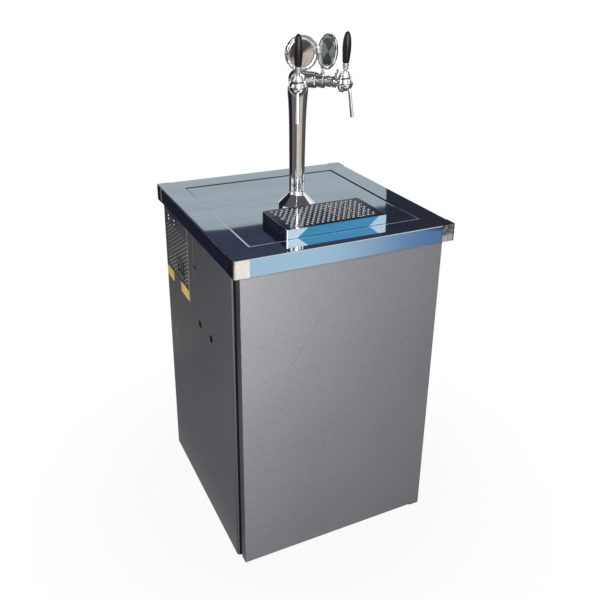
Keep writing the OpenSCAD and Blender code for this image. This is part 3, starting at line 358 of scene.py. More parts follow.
def label_finish():
    """Blank yellow label paper, a little faded and scuffed."""
    finish, shader, place = start_finish("label_yellow")
    fade = place.noise(30.0, 4.0)
    scuff = place.noise(260.0, 3.0).step(0.66, 0.74)
    worn = fade.step(0.3, 0.7).blend(rgb(0.58, 0.44, 0.07), rgb(0.70, 0.57, 0.14))
    feed(shader, place, {
        "Base Color": (scuff * 0.6).blend(worn, rgb(0.70, 0.64, 0.40)),
        "Roughness": fade * 0.2 + 0.42,
        "Normal": bump(place, fade, 0.0002, 0.4),
    })
    return finish


def face_finish(name, dark, light, centre, turn, reflection_fans, lead):
    """Blank turned face of a medallion with a painted reflection: light and dark sectors run out from its
    middle.
    """
    finish, shader, place = start_finish(name)
    cloud = place.noise(45.0, 4.0)
    grain = place.noise(1500.0, 2.0)
    across = (place.axis("X") - centre.x) * math.cos(turn) + (place.axis("Y") - centre.y) * math.sin(turn)
    angle = place.maths("ARCTAN2", place.axis("Z") - centre.z, across)
    # Painted reflection: the colour turns between dark and light around the disc's middle.
    fan = place.maths("COSINE", (angle - lead) * reflection_fans) * 0.5 + 0.5
    feed(shader, place, {
        "Base Color": (fan * 0.9 + cloud * 0.1).step(0.32, 0.74).blend(dark, light),
        "Metallic": 0.7,
        "Roughness": cloud * 0.15 + grain * 0.1 + 0.24,
        "Normal": bump(place, grain, 0.000005),
    })
    return finish


def cap_finish():
    """Corner caps: pale brushed steel, with painted shade on the left side and a mottled painted reflection
    on the front right one, dark on its top and lighter lower down.
    """
    lower_part, left_face = (0.894, 0.902), (-0.3008, -0.3004)
    right_half, front_half = (0.10, 0.11), (-0.11, -0.10)
    finish, shader, place = start_finish("cap_steel")
    smear = place.noise(40.0, 4.0)
    blot = place.noise(95.0, 3.0).step(0.47, 0.56)
    low = place.axis("Z").fade(*lower_part)
    # Painted reflection on the front right cap: dark on its top with mottling, lighter lower down.
    painted_cap_reflection = (blot * 0.35 + low * 0.50 + 0.08).blend(rgb(0.07, 0.07, 0.08), rgb(0.62, 0.61, 0.60))
    pale = smear.step(0.3, 0.7).blend(rgb(0.76, 0.71, 0.64), rgb(0.87, 0.82, 0.75))
    front_right = place.axis("X").step(*right_half) * place.axis("Y").fade(*front_half)
    # Painted shade: the caps' left side faces are coloured dark.
    painted_left_shade = place.axis("X").fade(*left_face)
    feed(shader, place, {
        "Base Color": painted_left_shade.blend(front_right.blend(pale, painted_cap_reflection), rgb(0.12, 0.13, 0.17)),
        "Metallic": 1.0,
        "Roughness": smear * 0.10 + blot * 0.06 + 0.08,
        "Normal": bump(place, smear, 0.00003, 0.5),
    })
    return finish


def door_finish():
    """Grey baked coat on the door's front with one long faint scuff; painted shade colours its folded sides
    near black.
    """
    scuff_x, scuff_z, lean = -0.0615, 0.737, math.radians(55.6)
    scuff_sway, scuff_half = 0.010, (0.0005, 0.0024)
    scuff_start, scuff_end = (-0.21, -0.10), (-0.006, 0.004)
    side_face = (0.2788, 0.2792)
    finish, shader, place = start_finish("door_coat")
    cloud, grain, rub = coat_marks(place)
    from_x = place.axis("X") - scuff_x
    from_z = place.axis("Z") - scuff_z
    run = from_x * math.cos(lean) + from_z * math.sin(lean)
    sway = place.noise(9.0, 2.0) * scuff_sway - scuff_sway / 2.0
    stray = from_x * math.sin(lean) - from_z * math.cos(lean) + sway
    scuff = stray.away().fade(*scuff_half) * run.step(*scuff_start) * run.fade(*scuff_end)
    tone = (cloud * 0.30 + coat_mottle(place) * 0.55 + grain * 0.15).step(0.2, 0.8)
    clean = tone.blend(rgb(0.164, 0.168, 0.184), rgb(0.226, 0.230, 0.247))
    front = (scuff * 0.45).blend(clean, rgb(0.130, 0.132, 0.142))
    # Painted shade: the door's folded sides, which face the narrow gaps, are coloured near black.
    dark = grain.blend(rgb(0.018, 0.018, 0.020), rgb(0.030, 0.030, 0.033))
    side = place.axis("X").away().step(*side_face)
    feed(shader, place, {
        "Base Color": side.blend(front, dark),
        "Roughness": grain * 0.16 + cloud * 0.06 + rub * 0.06 + 0.34,
        "Specular IOR Level": coat_shine,
        "Normal": bump(place, grain, peel_depth),
    })
    return finish


def panel_finish():
    """Dark coat of the side panels, with a painted highlight on the front fold, broken a little by rub
    marks, and painted shade in matt black on the flange by the door.
    """
    front_fold, flange_front, flange_side = (-0.2566, -0.2535), (-0.2570, -0.2565), (0.2820, 0.2826)
    finish, shader, place = start_finish("side_panel_coat")
    cloud, grain, rub = coat_marks(place)
    along = place.axis("Y")
    tone = (cloud * 0.40 + coat_mottle(place) * 0.45 + grain * 0.15).step(0.25, 0.75)
    clean = tone.blend(rgb(0.031, 0.032, 0.038), rgb(0.046, 0.047, 0.054))
    # Painted highlight: the front fold is coloured lighter than the coat, broken a little by rub marks.
    fold = along.fade(*front_fold) * (rub * 0.3 + 0.7)
    coat = fold.blend(clean, rgb(0.088, 0.090, 0.100))
    # Painted shade: the flange beside the door, along the gap, is coloured matt black.
    painted_gap_shade = place.axis("X").away().fade(*flange_side) * along.fade(*flange_front)
    feed(shader, place, {
        "Base Color": painted_gap_shade.blend(coat, rgb(0.003, 0.003, 0.004)),
        "Roughness": grain * 0.16 + cloud * 0.08 + painted_gap_shade * 0.40 + 0.34 - rub * 0.06,
        "Specular IOR Level": coat_shine,
        "Normal": bump(place, grain, peel_depth),
    })
    return finish


# The look of each material slot
finishes = {
    "worktop_steel": worktop_finish(),
    "polished_steel": tray_finish(),
    "chrome": chrome_finish("chrome", rgb(0.78, 0.785, 0.79), rgb(0.86, 0.86, 0.865), 0.030),
    "dark_coat": coat_finish("dark_grey_coat", rgb(0.034, 0.035, 0.041), rgb(0.043, 0.044, 0.051), 0.46),
    "grey_coat": door_finish(),
    "black_coat": coat_finish("black_coat", rgb(0.018, 0.018, 0.020), rgb(0.032, 0.032, 0.034), 0.42),
    "black_plastic": plastic_finish("black_plastic", rgb(0.008, 0.008, 0.009), rgb(0.015, 0.015, 0.016),
                                    0.42),
    "grey_plastic": plastic_finish("grey_plastic", rgb(0.060, 0.061, 0.064), rgb(0.085, 0.086, 0.090), 0.50),
    "white_plastic": plastic_finish("white_liner_plastic", rgb(0.56, 0.57, 0.57), rgb(0.64, 0.65, 0.65),
                                    0.36),
    "beer_line": plastic_finish("beer_line", rgb(0.62, 0.60, 0.52), rgb(0.72, 0.70, 0.62), 0.25, shine=0.4),
    "rubber": plastic_finish("black_rubber", rgb(0.006, 0.006, 0.007), rgb(0.014, 0.014, 0.015), 0.68,
                             300.0),
    "foam": foam_finish("rigid_foam", rgb(0.52, 0.42, 0.20), rgb(0.72, 0.63, 0.38)),
    "board": board_finish("particle_board"),
    "satin_steel": steel_finish("satin_steel", rgb(0.42, 0.43, 0.44), rgb(0.54, 0.55, 0.55), 0.30,
                                (0.2, 3.0, 3.0), 0.00001),
    "aluminium": steel_finish("aluminium", rgb(0.60, 0.61, 0.62), rgb(0.74, 0.75, 0.75), 0.34,
                              (0.3, 2.0, 2.0), 0.00001),
    "copper": steel_finish("copper", rgb(0.46, 0.20, 0.11), rgb(0.72, 0.37, 0.23), 0.28, (1.0, 1.0, 1.0)),
}

# Looks of single pieces
handle_black = handle_finish()
label_yellow = label_finish()
panel_coat = panel_finish()
# Painted highlight: the vent blades are coloured far lighter than the panel's coat.
blade_highlight_coat = coat_finish("blade_highlight_coat", rgb(0.22, 0.22, 0.225), rgb(0.30, 0.30, 0.305), 0.40)
# Painted highlights: the two upright folds on the left panel, coloured lighter than its coat.
fold_highlight_coat = coat_finish("fold_highlight_coat", rgb(0.18, 0.18, 0.185), rgb(0.24, 0.24, 0.245), 0.40)
faint_highlight_coat = coat_finish("faint_highlight_coat", rgb(0.10, 0.10, 0.105), rgb(0.13, 0.13, 0.135), 0.42)
zinc = plastic_finish("zinc_plate", rgb(0.62, 0.62, 0.60), rgb(0.78, 0.78, 0.75), 0.35)
port_black = plastic_finish("port_black", rgb(0.002, 0.002, 0.002), rgb(0.004, 0.004, 0.004), 0.88)
# Painted dark reflection: the grid plate's steel is coloured far darker than the tray's steel.
plate_painted_dark = steel_finish("plate_painted_dark", rgb(0.11, 0.12, 0.14), rgb(0.18, 0.19, 0.21), 0.10, brushed_across)
collar_satin = steel_finish("collar_satin", rgb(0.76, 0.72, 0.67), rgb(0.90, 0.86, 0.81), 0.34,
                            (1.0, 1.0, 0.1))
own_finish = {
    "tap_lever_left": collar_satin,
    "tap_lever_right": collar_satin,
    "tap_handle_left": handle_black,
    "tap_handle_right": handle_black,
    "port_sleeves": port_black,
    "corner_caps": cap_finish(),
    "controller_plate": finishes["black_plastic"],
    "left_side_panel": panel_coat,
    "right_side_panel": panel_coat,
}


# Modelling helpers

def work_on(piece):
    """Selects one piece alone and makes it active."""
    bpy.ops.object.select_all(action="DESELECT")
    piece.select_set(True)
    bpy.context.view_layer.objects.active = piece


def edit_all(piece):
    """Opens a piece in edit mode with all of it selected."""
    work_on(piece)
    bpy.ops.object.mode_set(mode="EDIT")
    bpy.ops.mesh.select_all(action="SELECT")


def leave_edit():
    """Goes back to object mode."""
    bpy.ops.object.mode_set(mode="OBJECT")


def smooth(piece, angle=32.0):
    """Shades a piece smooth where its faces meet at less than an angle."""
    work_on(piece)
    bpy.ops.object.shade_smooth_by_angle(angle=math.radians(angle))


def apply_modifier(piece, kind, settings):
    """Adds a modifier with its settings to a piece and applies it."""
    work_on(piece)
    bpy.ops.object.modifier_add(type=kind)
    modifier = piece.modifiers[-1]
    for key, value in settings.items():
        setattr(modifier, key, value)
    bpy.ops.object.modifier_apply(modifier=modifier.name)


def soften(piece, width, segments=2):
    """Rounds a piece's sharp edges by a width in millimetres."""
    sharp = math.radians(40.0)
    apply_modifier(piece, "BEVEL", {"width": width * MM, "segments": segments, "limit_method": "ANGLE",
                                    "angle_limit": sharp})


def settle(piece):
    """Lets large flat faces lead the shading of the rounded edges beside them."""
    apply_modifier(piece, "WEIGHTED_NORMAL", {"keep_sharp": True})


def merged_copy(node, name):
    """A solid's mesh as one clean skin, its doubles merged and its flat faces joined."""
    piece = bpy.data.objects.new(name, nodes[node].data.copy())
    bpy.context.scene.collection.objects.link(piece)
    piece.data.materials.clear()
    work_on(piece)
    bpy.ops.mesh.customdata_custom_splitnormals_clear()
    edit_all(piece)
    bpy.ops.mesh.remove_doubles(threshold=0.000002)
    bpy.ops.mesh.dissolve_limited(angle_limit=math.radians(0.2))
    leave_edit()
    return piece


def place_piece(piece, body, slot, finish, *replaced):
    """Gives a piece its finish, the body it rides on and the solids it replaces; the slot it is given is not
    used.
    """
    piece.data.materials.clear()
    piece.data.materials.append(finish)
    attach(piece, body)
    if replaced:
        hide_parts(*replaced)


def dress(node, width=0.0):
    """Replaces a solid by its own skin with edges rounded by a width, smooth shading and its finish."""
    piece = merged_copy(node, "finished_" + node)
    if width:
        soften(piece, width)
    smooth(piece)
    if width:
        settle(piece)
    slot = slot_of[node]
    place_piece(piece, body_of[node], slot, own_finish.get(node, finishes[slot]), node)


def added(name):
    """Names the primitive just added and puts its place into its mesh."""
    piece = bpy.context.active_object
    piece.name = name
    work_on(piece)
    bpy.ops.object.transform_apply(location=True, rotation=True, scale=True)
    return piece


def add_plane(name, size, place):
    """A level sheet of a size around a place, in millimetres."""
    bpy.ops.object.select_all(action="DESELECT")
    bpy.ops.mesh.primitive_plane_add(size=MM, location=Vector(place) * MM)
    bpy.context.active_object.scale = (size[0], size[1], 1.0)
    return added(name)


def add_block(name, size, place):
    """A block of a size around a place, in millimetres."""
    bpy.ops.object.select_all(action="DESELECT")
    bpy.ops.mesh.primitive_cube_add(size=MM, location=Vector(place) * MM)
    bpy.context.active_object.scale = size
    return added(name)


def add_round(name, radius, height, place, sides):
    """An upright cylinder around a place, in millimetres."""
    bpy.ops.object.select_all(action="DESELECT")
    bpy.ops.mesh.primitive_cylinder_add(vertices=sides, radius=radius * MM, depth=height * MM,
                                        location=Vector(place) * MM)
    return added(name)


def pick_faces(piece, test):
    """Selects the faces whose middle and normal pass a test, in edit mode."""
    bpy.ops.mesh.select_mode(type="FACE")
    bpy.ops.mesh.select_all(action="DESELECT")
    mesh = bmesh.from_edit_mesh(piece.data)
    for face in mesh.faces:
        face.select_set(test(face.calc_center_median(), face.normal))
    mesh.select_flush_mode()
    bmesh.update_edit_mesh(piece.data)


def pick_edges(piece, test):
    """Selects the edges whose two ends pass a test, in edit mode."""
    bpy.ops.mesh.select_mode(type="EDGE")
    bpy.ops.mesh.select_all(action="DESELECT")
    mesh = bmesh.from_edit_mesh(piece.data)
    for edge in mesh.edges:
        edge.select_set(test(edge.verts[0].co, edge.verts[1].co))
    bmesh.update_edit_mesh(piece.data)


def pick_open_edges():
    """Selects the open edges of a sheet, in edit mode."""
    bpy.ops.mesh.select_all(action="DESELECT")
    bpy.ops.mesh.select_non_manifold(extend=False, use_wire=False, use_boundary=True, use_multi_face=False,
                                     use_non_contiguous=False, use_verts=False)


def face_outwards():
    """Turns all faces outwards, in edit mode."""
    bpy.ops.mesh.select_all(action="SELECT")
    bpy.ops.mesh.normals_make_consistent(inside=False)


def turned(place, degrees, axis):
    """A turn about an axis, then a move to a place in millimetres."""
    return Matrix.Translation(Vector(place) * MM) @ Matrix.Rotation(math.radians(degrees), 4, axis)


def inset(thickness, depth=0.0):
    """Insets the selected faces and raises them by a depth, in millimetres."""
    bpy.ops.mesh.inset(thickness=thickness * MM, depth=depth * MM)


def extrude_faces(way):
    """Extrudes the selected faces along a way in millimetres."""
    bpy.ops.mesh.extrude_region_move(TRANSFORM_OT_translate={"value": Vector(way) * MM})


def extrude_rim(way):
    """Extrudes the selected edges along a way in millimetres."""
    bpy.ops.mesh.extrude_edges_move(TRANSFORM_OT_translate={"value": Vector(way) * MM})


def cut_out(piece, cutter):
    """Takes a cutter's shape out of a piece and removes the cutter."""
    apply_modifier(piece, "BOOLEAN", {"operation": "DIFFERENCE", "solver": "EXACT", "object": cutter})
    bpy.data.objects.remove(cutter)


def copies(piece, moves, name):
    """One object made of a shape's copies at several moves; the first shape is used up."""
    made = []
    for move in moves:
        twin = piece.copy()
        twin.data = piece.data.copy()
        twin.data.transform(move)
        bpy.context.scene.collection.objects.link(twin)
        made.append(twin)
    bpy.data.objects.remove(piece)
    bpy.ops.object.select_all(action="DESELECT")
    for twin in made:
        twin.select_set(True)
    bpy.context.view_layer.objects.active = made[0]
    if len(made) > 1:
        bpy.ops.object.join()
    joined = bpy.context.active_object
    joined.name = name
    return joined


# Sizes repeated from the solids, in millimetres
top_w, top_d, top_z = 600.0, 626.0, 924.0
deck_inset_x, deck_inset_y = 66.0, 71.0
skirt_h = 45.0
tower = Vector((-15.5, -36.5, 1263.5))
medal_rise = 71.0
panel_x = -287.5
cover_x = -286.3
slot_tilt = 28.5


def make_worktop():
    """Folded sheet with rolled edges, whose middle rolls down to the sunk deck."""
    fold, corner_r, lip, sheet = 2.4, 5.0, 10.0, 1.4
    roll_out, deck_rim = 4.2, 4.0
    roll = ((1.3, 0.10), (1.1, 0.28), (0.8, 0.42), (0.55, 0.50), (0.5, 0.45), (0.55, 0.25))
    shank_r, shank_h = 19.0, 40.0
    piece = add_plane("worktop_sheet", (top_w, top_d), (0.0, 0.0, top_z))
    edit_all(piece)
    bpy.ops.mesh.select_mode(type="FACE")
    inset(deck_inset_x - roll_out)
    half = top_d / 2.0 - deck_inset_x + roll_out
    bpy.ops.transform.resize(value=(1.0, (half - deck_inset_y + deck_inset_x) / half, 1.0))
    for width, drop in roll:
        inset(width, -drop)
    inset(deck_rim)
    bpy.ops.mesh.select_mode(type="EDGE")
    pick_open_edges()
    extrude_rim((0.0, 0.0, -skirt_h))
    extrude_rim((0.0, 0.0, 0.0))
    bpy.ops.transform.resize(value=(1.0 - 2.0 * lip / top_w, 1.0 - 2.0 * lip / top_d, 1.0))
    face_outwards()
    pick_edges(piece, lambda a, b: abs(a.z - b.z) > 0.5 * skirt_h * MM)
    bpy.ops.mesh.bevel(offset=corner_r * MM, segments=5, affect="EDGES")
    rim_z = (top_z - 0.01) * MM
    half_x, half_y = (top_w / 2.0 - corner_r) * MM, (top_d / 2.0 - corner_r) * MM

    def on_rim(point):
        beyond_x = max(0.0, abs(point.x) - half_x)
        beyond_y = max(0.0, abs(point.y) - half_y)
        return point.z > rim_z and math.hypot(beyond_x, beyond_y) > (corner_r - 0.05) * MM

    pick_edges(piece, lambda a, b: on_rim(a) and on_rim(b))
    bpy.ops.mesh.bevel(offset=fold * MM, segments=4, affect="EDGES")
    leave_edit()
    apply_modifier(piece, "SOLIDIFY", {"thickness": sheet * MM, "offset": -1.0, "use_even_offset": True})
    cut_out(piece, add_round("shank_cutter", shank_r, shank_h, (tower.x, tower.y, top_z), 48))
    smooth(piece, 40.0)
    settle(piece)
    place_piece(piece, "cabinet", "worktop_steel", finishes["worktop_steel"], "worktop")


def make_grid():
    """Perforated plate in staggered rows with one finger hole, every hole with a countersunk rim."""
    wide, deep, thick = 274.2, 145.2, 1.45
    pitch, row_pitch, stagger = 14.3, 11.5, 0.25
    hole_r, finger_r, rim, web, corner_r = 4.0, 8.0, 1.0, 1.5, 1.6
    middle = Vector((1.0, -166.0, 946.05))
    finger = Vector((-wide / 2.0 + 26.0, 0.0, 0.0))
    plate = add_block("punched_grid", (wide, deep, thick), middle + Vector((0.0, 0.0, thick / 2.0)))
    edit_all(plate)
    pick_edges(plate, lambda a, b: abs(a.z - b.z) > MM)
    bpy.ops.mesh.bevel(offset=corner_r * MM, segments=4, affect="EDGES")
    leave_edit()
    moves = []
    for row in range(-5, 6):
        for column in range(-8, 9):
            shift = stagger if row % 2 == 0 else -stagger
            spot = Vector(((column + shift) * pitch, row * row_pitch, 0.0))
            if (spot - finger).length > finger_r + hole_r + web:
                moves.append(Matrix.Translation((middle + spot) * MM))
    grip = [Matrix.Translation((middle + finger) * MM)]
    for radius, spots, sides, name in ((hole_r, moves, 14, "grid_rims"), (finger_r, grip, 32, "finger_rim")):
        cutter = add_round("cutter", radius + rim + 0.02, 6.0, (0.0, 0.0, thick / 2.0), sides)
        cut_out(plate, copies(cutter, spots, "hole_cutters"))
        ring = copies(make_rim(radius, rim, thick, sides), spots, name)
        smooth(ring, 30.0)
        place_piece(ring, "grid", "polished_steel", finishes["chrome"])
    smooth(plate, 50.0)
    place_piece(plate, "grid", "polished_steel", plate_painted_dark, "drip_grid")


def make_rim(radius, rim, thick, sides):
    """Rim of one hole: a cone that narrows downwards, closed behind."""
    foot = 0.1
    outer = radius + rim
    bpy.ops.object.select_all(action="DESELECT")
    bpy.ops.mesh.primitive_circle_add(vertices=sides, radius=outer * MM, fill_type="NOTHING",
                                      location=(0.0, 0.0, thick * MM))
    piece = added("rim")
    edit_all(piece)
    bpy.ops.mesh.select_mode(type="EDGE")
    bpy.ops.mesh.select_all(action="SELECT")
    extrude_rim((0.0, 0.0, foot - thick))
    bpy.ops.transform.resize(value=(radius / outer, radius / outer, 1.0))
    extrude_rim((0.0, 0.0, -foot))
    extrude_rim((0.0, 0.0, 0.0))
    bpy.ops.transform.resize(value=(outer / radius, outer / radius, 1.0))
    pick_open_edges()
    bpy.ops.mesh.bridge_edge_loops()
    face_outwards()
    leave_edit()
    return piece


def slot_rows():
    """Middle and length of every vent slot, as in the vent covers."""
    y0, y1, z0, z1 = 88.0, 284.0, 684.0, 826.0
    tilt = math.radians(slot_tilt)
    slot_w, pitch, shortest = 4.5, 12.0, 8.0
    rise = math.tan(tilt)
    mid_y, mid_z = (y0 + y1) / 2.0, (z0 + z1) / 2.0
    count = math.ceil((z1 - z0 + rise * (y1 - y0)) / pitch / 2.0)
    for number in range(-count, count + 1):
        level = mid_z + number * pitch
        near = max(y0, mid_y + (level - z1) / rise)
        far = min(y1, mid_y + (level - z0) / rise)
        reach = (far - near) / math.cos(tilt) - slot_w
        if reach > shortest:
            middle = (near + far) / 2.0
            yield middle, level - (middle - mid_y) * rise, reach


def make_blades(side, name):
    """Blades behind the vent slots, leaning so that air still passes; their light grey coat is a painted
    highlight for the light they catch.
    """
    blade_w, blade_t, blade_long, lean = 6.5, 0.6, 100.0, math.radians(38.0)
    sunk, drop, lap, edge_r = 0.9, 0.3, 3.0, 0.25
    moves = []
    for middle_y, middle_z, reach in slot_rows():
        slant = turned((side * (-cover_x - sunk), middle_y, middle_z - drop), -slot_tilt, "X")
        tip = Matrix.Rotation(-side * lean, 4, "Y")
        moves.append(slant @ tip @ Matrix.Diagonal((1.0, (reach + lap) / blade_long, 1.0, 1.0)))
    blade = add_block("blade", (blade_t, blade_long, blade_w), (0.0, 0.0, 0.0))
    edit_all(blade)
    pick_edges(blade, lambda a, b: abs(a.y - b.y) > MM)
    bpy.ops.mesh.bevel(offset=edge_r * MM, segments=2, affect="EDGES")
    leave_edit()
    piece = copies(blade, moves, name)
    smooth(piece, 50.0)
    place_piece(piece, "cabinet", "dark_coat", blade_highlight_coat)


def make_seal():
    """Door seal: flange, slim neck and soft bulb round the door's edge."""
    half, low, high = 265.5, 38.0, 860.5
    back, front = -267.0, -258.3
    wide, flange, neck = 16.0, 1.6, 1.8
    neck_in, bulb_out = 3.4, 2.2
    piece = add_plane("door_seal", (2.0 * half, high - low), (0.0, 0.0, 0.0))
    piece.data.transform(turned((0.0, back, (low + high) / 2.0), -90.0, "X"))
    edit_all(piece)
    bpy.ops.mesh.select_mode(type="FACE")
    inset(wide)
    bpy.ops.mesh.delete(type="FACE")
    face_outwards()
    extrude_faces((0.0, flange, 0.0))
    inset(neck_in)
    extrude_faces((0.0, neck, 0.0))
    inset(-bulb_out)
    extrude_faces((0.0, front - back - flange - neck, 0.0))
    bpy.ops.mesh.select_all(action="SELECT")
    bpy.ops.mesh.remove_doubles(threshold=0.00001)
    bpy.ops.mesh.normals_make_consistent(inside=False)
    leave_edit()
    soften(piece, 0.6)
    smooth(piece, 50.0)
    place_piece(piece, "door", "rubber", finishes["rubber"], "door_gasket")


def make_screws():
    """Round-headed screws with a cross recess."""
    head_r, head_h, shank_in, shank_long = 2.6, 1.2, 1.2, 2.3
    crown = ((0.6, 0.35), (0.8, 0.2))
    cross_long, cross_w, cross_h, cross_z = 2.6, 0.6, 1.6, 1.75
    plate, plate_y, plate_z = Vector((-288.8, 219.0, 843.0)), 27.0, 5.5
    bracket, bracket_x = Vector((265.0, -261.0, 886.5)), 9.0
    head = add_round("screw", head_r, head_h, (0.0, 0.0, head_h / 2.0), 24)
    edit_all(head)
    pick_faces(head, lambda middle, normal: normal.z > 0.9)
    for width, rise in crown:
        inset(width, rise)
    pick_faces(head, lambda middle, normal: normal.z < -0.9)
    inset(shank_in)
    extrude_faces((0.0, 0.0, -shank_long))
    leave_edit()
    for bar in ((cross_long, cross_w, cross_h), (cross_w, cross_long, cross_h)):
        cut_out(head, add_block("cross_bar", bar, (0.0, 0.0, cross_z)))
    moves = []
    for y in (-plate_y, plate_y):
        for z in (-plate_z, plate_z):
            moves.append(turned(plate + Vector((0.0, y, z)), -90.0, "Y"))
    for x in (-bracket_x, bracket_x):
        moves.append(turned(bracket + Vector((x, 0.0, 0.0)), 90.0, "X"))
    piece = copies(head, moves, "cross_screws")
    smooth(piece, 40.0)
    place_piece(piece, "cabinet", "chrome", zinc, "panel_screws")


def make_medallion_face(side, body, dark, light, reflection_fans, lead):
    """Slightly domed blank disc in the middle of a medallion."""
    arm = math.radians((-25.5, 39.0)[side])
    turn = math.radians((-6.0, 29.0)[side])
    lean = math.radians((5.0, 0.0)[side])
    stem_x, face_out = (4.0, 11.0)[side], 2.85
    seat = Vector((stem_x + face_out, 0.0, medal_rise))
    face_r, face_h, arm_reach = 30.4, 0.5, 67.0
    dome = ((0.4, 0.15), (6.0, 0.35), (8.0, 0.25), (8.0, 0.12))
    bpy.ops.object.select_all(action="DESELECT")
    bpy.ops.mesh.primitive_circle_add(vertices=72, radius=face_r * MM, fill_type="NGON")
    disc = added(("medallion_face_left", "medallion_face_right")[side])
    edit_all(disc)
    bpy.ops.mesh.select_mode(type="FACE")
    extrude_faces((0.0, 0.0, face_h))
    for width, rise in dome:
        inset(width, rise)
    face_outwards()
    leave_edit()
    place = (Matrix.Translation(tower * MM) @ Matrix.Rotation(arm - math.pi / 2.0, 4, "Z")
             @ Matrix.Translation((arm_reach * MM, 0.0, 0.0)) @ Matrix.Rotation(-lean, 4, "X")
             @ Matrix.Rotation(turn - arm, 4, "Z") @ turned(seat, 90.0, "Y"))
    disc.data.transform(place)
    smooth(disc, 30.0)
    finish = face_finish(disc.name, dark, light, place.translation, turn, reflection_fans, math.radians(lead))
    place_piece(disc, body, "chrome", finish)


def make_label(name, y0, y1, z0, z1):
    """Blank label on the left panel, one corner lifting a little."""
    thick, curl, lift = 0.25, 9.0, 1.1
    piece = add_plane(name, (z1 - z0, y1 - y0), (0.0, 0.0, 0.0))
    edit_all(piece)
    bpy.ops.mesh.subdivide(number_cuts=7)
    bpy.ops.mesh.select_all(action="SELECT")
    extrude_faces((0.0, 0.0, thick))
    leave_edit()
    corner = Vector(((z1 - z0) / 2.0, (y1 - y0) / 2.0, 0.0)) * MM
    for point in piece.data.vertices:
        near = max(0.0, 1.0 - (Vector((point.co.x, point.co.y, 0.0)) - corner).length / (curl * MM))
        point.co.z += lift * MM * near * near
    piece.data.transform(turned((panel_x - 0.05, (y0 + y1) / 2.0, (z0 + z1) / 2.0), -90.0, "Y"))
    smooth(piece, 40.0)
    place_piece(piece, "cabinet", "white_plastic", label_yellow)


def make_plug():
    """Small black plug in a hole of the left panel."""
    plug_r, plug_h, plug_y, plug_z = 6.5, 1.6, 22.0, 773.0
    crown = ((1.0, 0.5), (1.6, 0.2), (0.8, -0.5))
    piece = add_round("panel_plug", plug_r, plug_h, (0.0, 0.0, plug_h / 2.0), 32)
    edit_all(piece)
    pick_faces(piece, lambda middle, normal: normal.z > 0.9)
    for width, rise in crown:
        inset(width, rise)
    leave_edit()
    piece.data.transform(turned((panel_x, plug_y, plug_z), -90.0, "Y"))
    soften(piece, 0.2)
    smooth(piece, 40.0)
    place_piece(piece, "cabinet", "black_plastic", finishes["black_plastic"])


def make_bead(name, y, z0, z1, width, proud, finish):
    """Slim upright fold on the left panel."""
    piece = add_block(name, (2.0 * proud, width, z1 - z0), (panel_x, y, (z0 + z1) / 2.0))
    soften(piece, 0.45 * min(width, 2.0 * proud), 3)
    smooth(piece, 50.0)
    place_piece(piece, "cabinet", "dark_coat", finish)


def make_knob():
    """Thermostat knob: flange, grip with sunk flutes and a raised pointer."""
    flange_r, flange_h, grip_r, grip_tip_r, grip_h = 14.0, 4.0, 11.5, 10.5, 15.0
    sides, grip_edge, flute_rim, flute_depth = 48, 1.2, 0.25, 0.5
    pointer_size, pointer_y = (2.0, 9.0, 1.2), 6.0
    seat = (-165.0, -200.4, 834.0)
    knob = add_round("fluted_knob", flange_r, flange_h, (0.0, 0.0, flange_h / 2.0), sides)
    edit_all(knob)
    pick_faces(knob, lambda middle, normal: normal.z > 0.9)
    inset(flange_r - grip_r)
    extrude_faces((0.0, 0.0, grip_h - flange_h))
    bpy.ops.transform.resize(value=(grip_tip_r / grip_r, grip_tip_r / grip_r, 1.0))
    inset(grip_edge)

    def flute(middle, normal):
        turn = round((math.atan2(normal.y, normal.x) / math.tau) * sides - 0.5)
        return abs(normal.z) < 0.5 and middle.z > flange_h * MM and turn % 2 == 0

    pick_faces(knob, flute)
    bpy.ops.mesh.inset(thickness=flute_rim * MM, depth=-flute_depth * MM, use_individual=True)
    leave_edit()
    soften(knob, 0.2)
    pointer = add_block("pointer", pointer_size, (0.0, pointer_y, grip_h))
    soften(pointer, 0.3)
    bpy.ops.object.select_all(action="DESELECT")
    pointer.select_set(True)
    knob.select_set(True)
    bpy.context.view_layer.objects.active = knob
    bpy.ops.object.join()
    knob.data.transform(turned(seat, 90.0, "X"))
    smooth(knob, 35.0)
    place_piece(knob, "knob", "black_plastic", finishes["black_plastic"], "thermostat_knob")


# Solids that keep their shape and get rounded edges
softened = {
    "worktop_brackets": 0.5, "left_side_panel": 0.3, "right_side_panel": 0.3,
    "back_panel": 0.25, "base_pan": 0.3, "front_frame": 1.2, "inner_liner": 0.3, "floor_plate": 0.4,
    "vent_covers": 0.25, "hinge_bracket_top": 0.5, "hinge_bracket_bottom": 0.5, "bay_tray": 0.4,
    "thermostat_housing": 1.5, "controller_plate": 0.5, "power_inlet": 0.5, "power_rocker": 0.5,
    "door_skin": 0.5, "door_liner": 0.8, "drip_tray": 0.35,
}
smoothed = [
    "tower_column", "tower_head", "tower_seal", "tower_shank", "tower_nut", "beer_lines",
    "tap_arm_left", "tap_arm_right", "tap_body_left", "tap_body_right", "tap_spout_left", "tap_spout_right",
    "tap_lever_left", "tap_lever_right", "flow_lever_left", "flow_lever_right", "medallion_stems",
    "medallion_left", "medallion_right", "levelling_feet", "compressor", "compressor_mounts", "fan_shroud",
    "fan_motor", "condenser_fan", "refrigerant_pipes", "evaporator_plate", "port_sleeves",
    "door_bushes",
]
for node, width in softened.items():
    dress(node, width)
for node in smoothed:
    dress(node)
dress("corner_caps", 0.4)
dress("tap_handle_left")
dress("tap_handle_right")
make_worktop()
make_grid()
make_seal()
make_screws()
make_knob()
make_blades(-1.0, "vent_blades_left")
make_blades(1.0, "vent_blades_right")
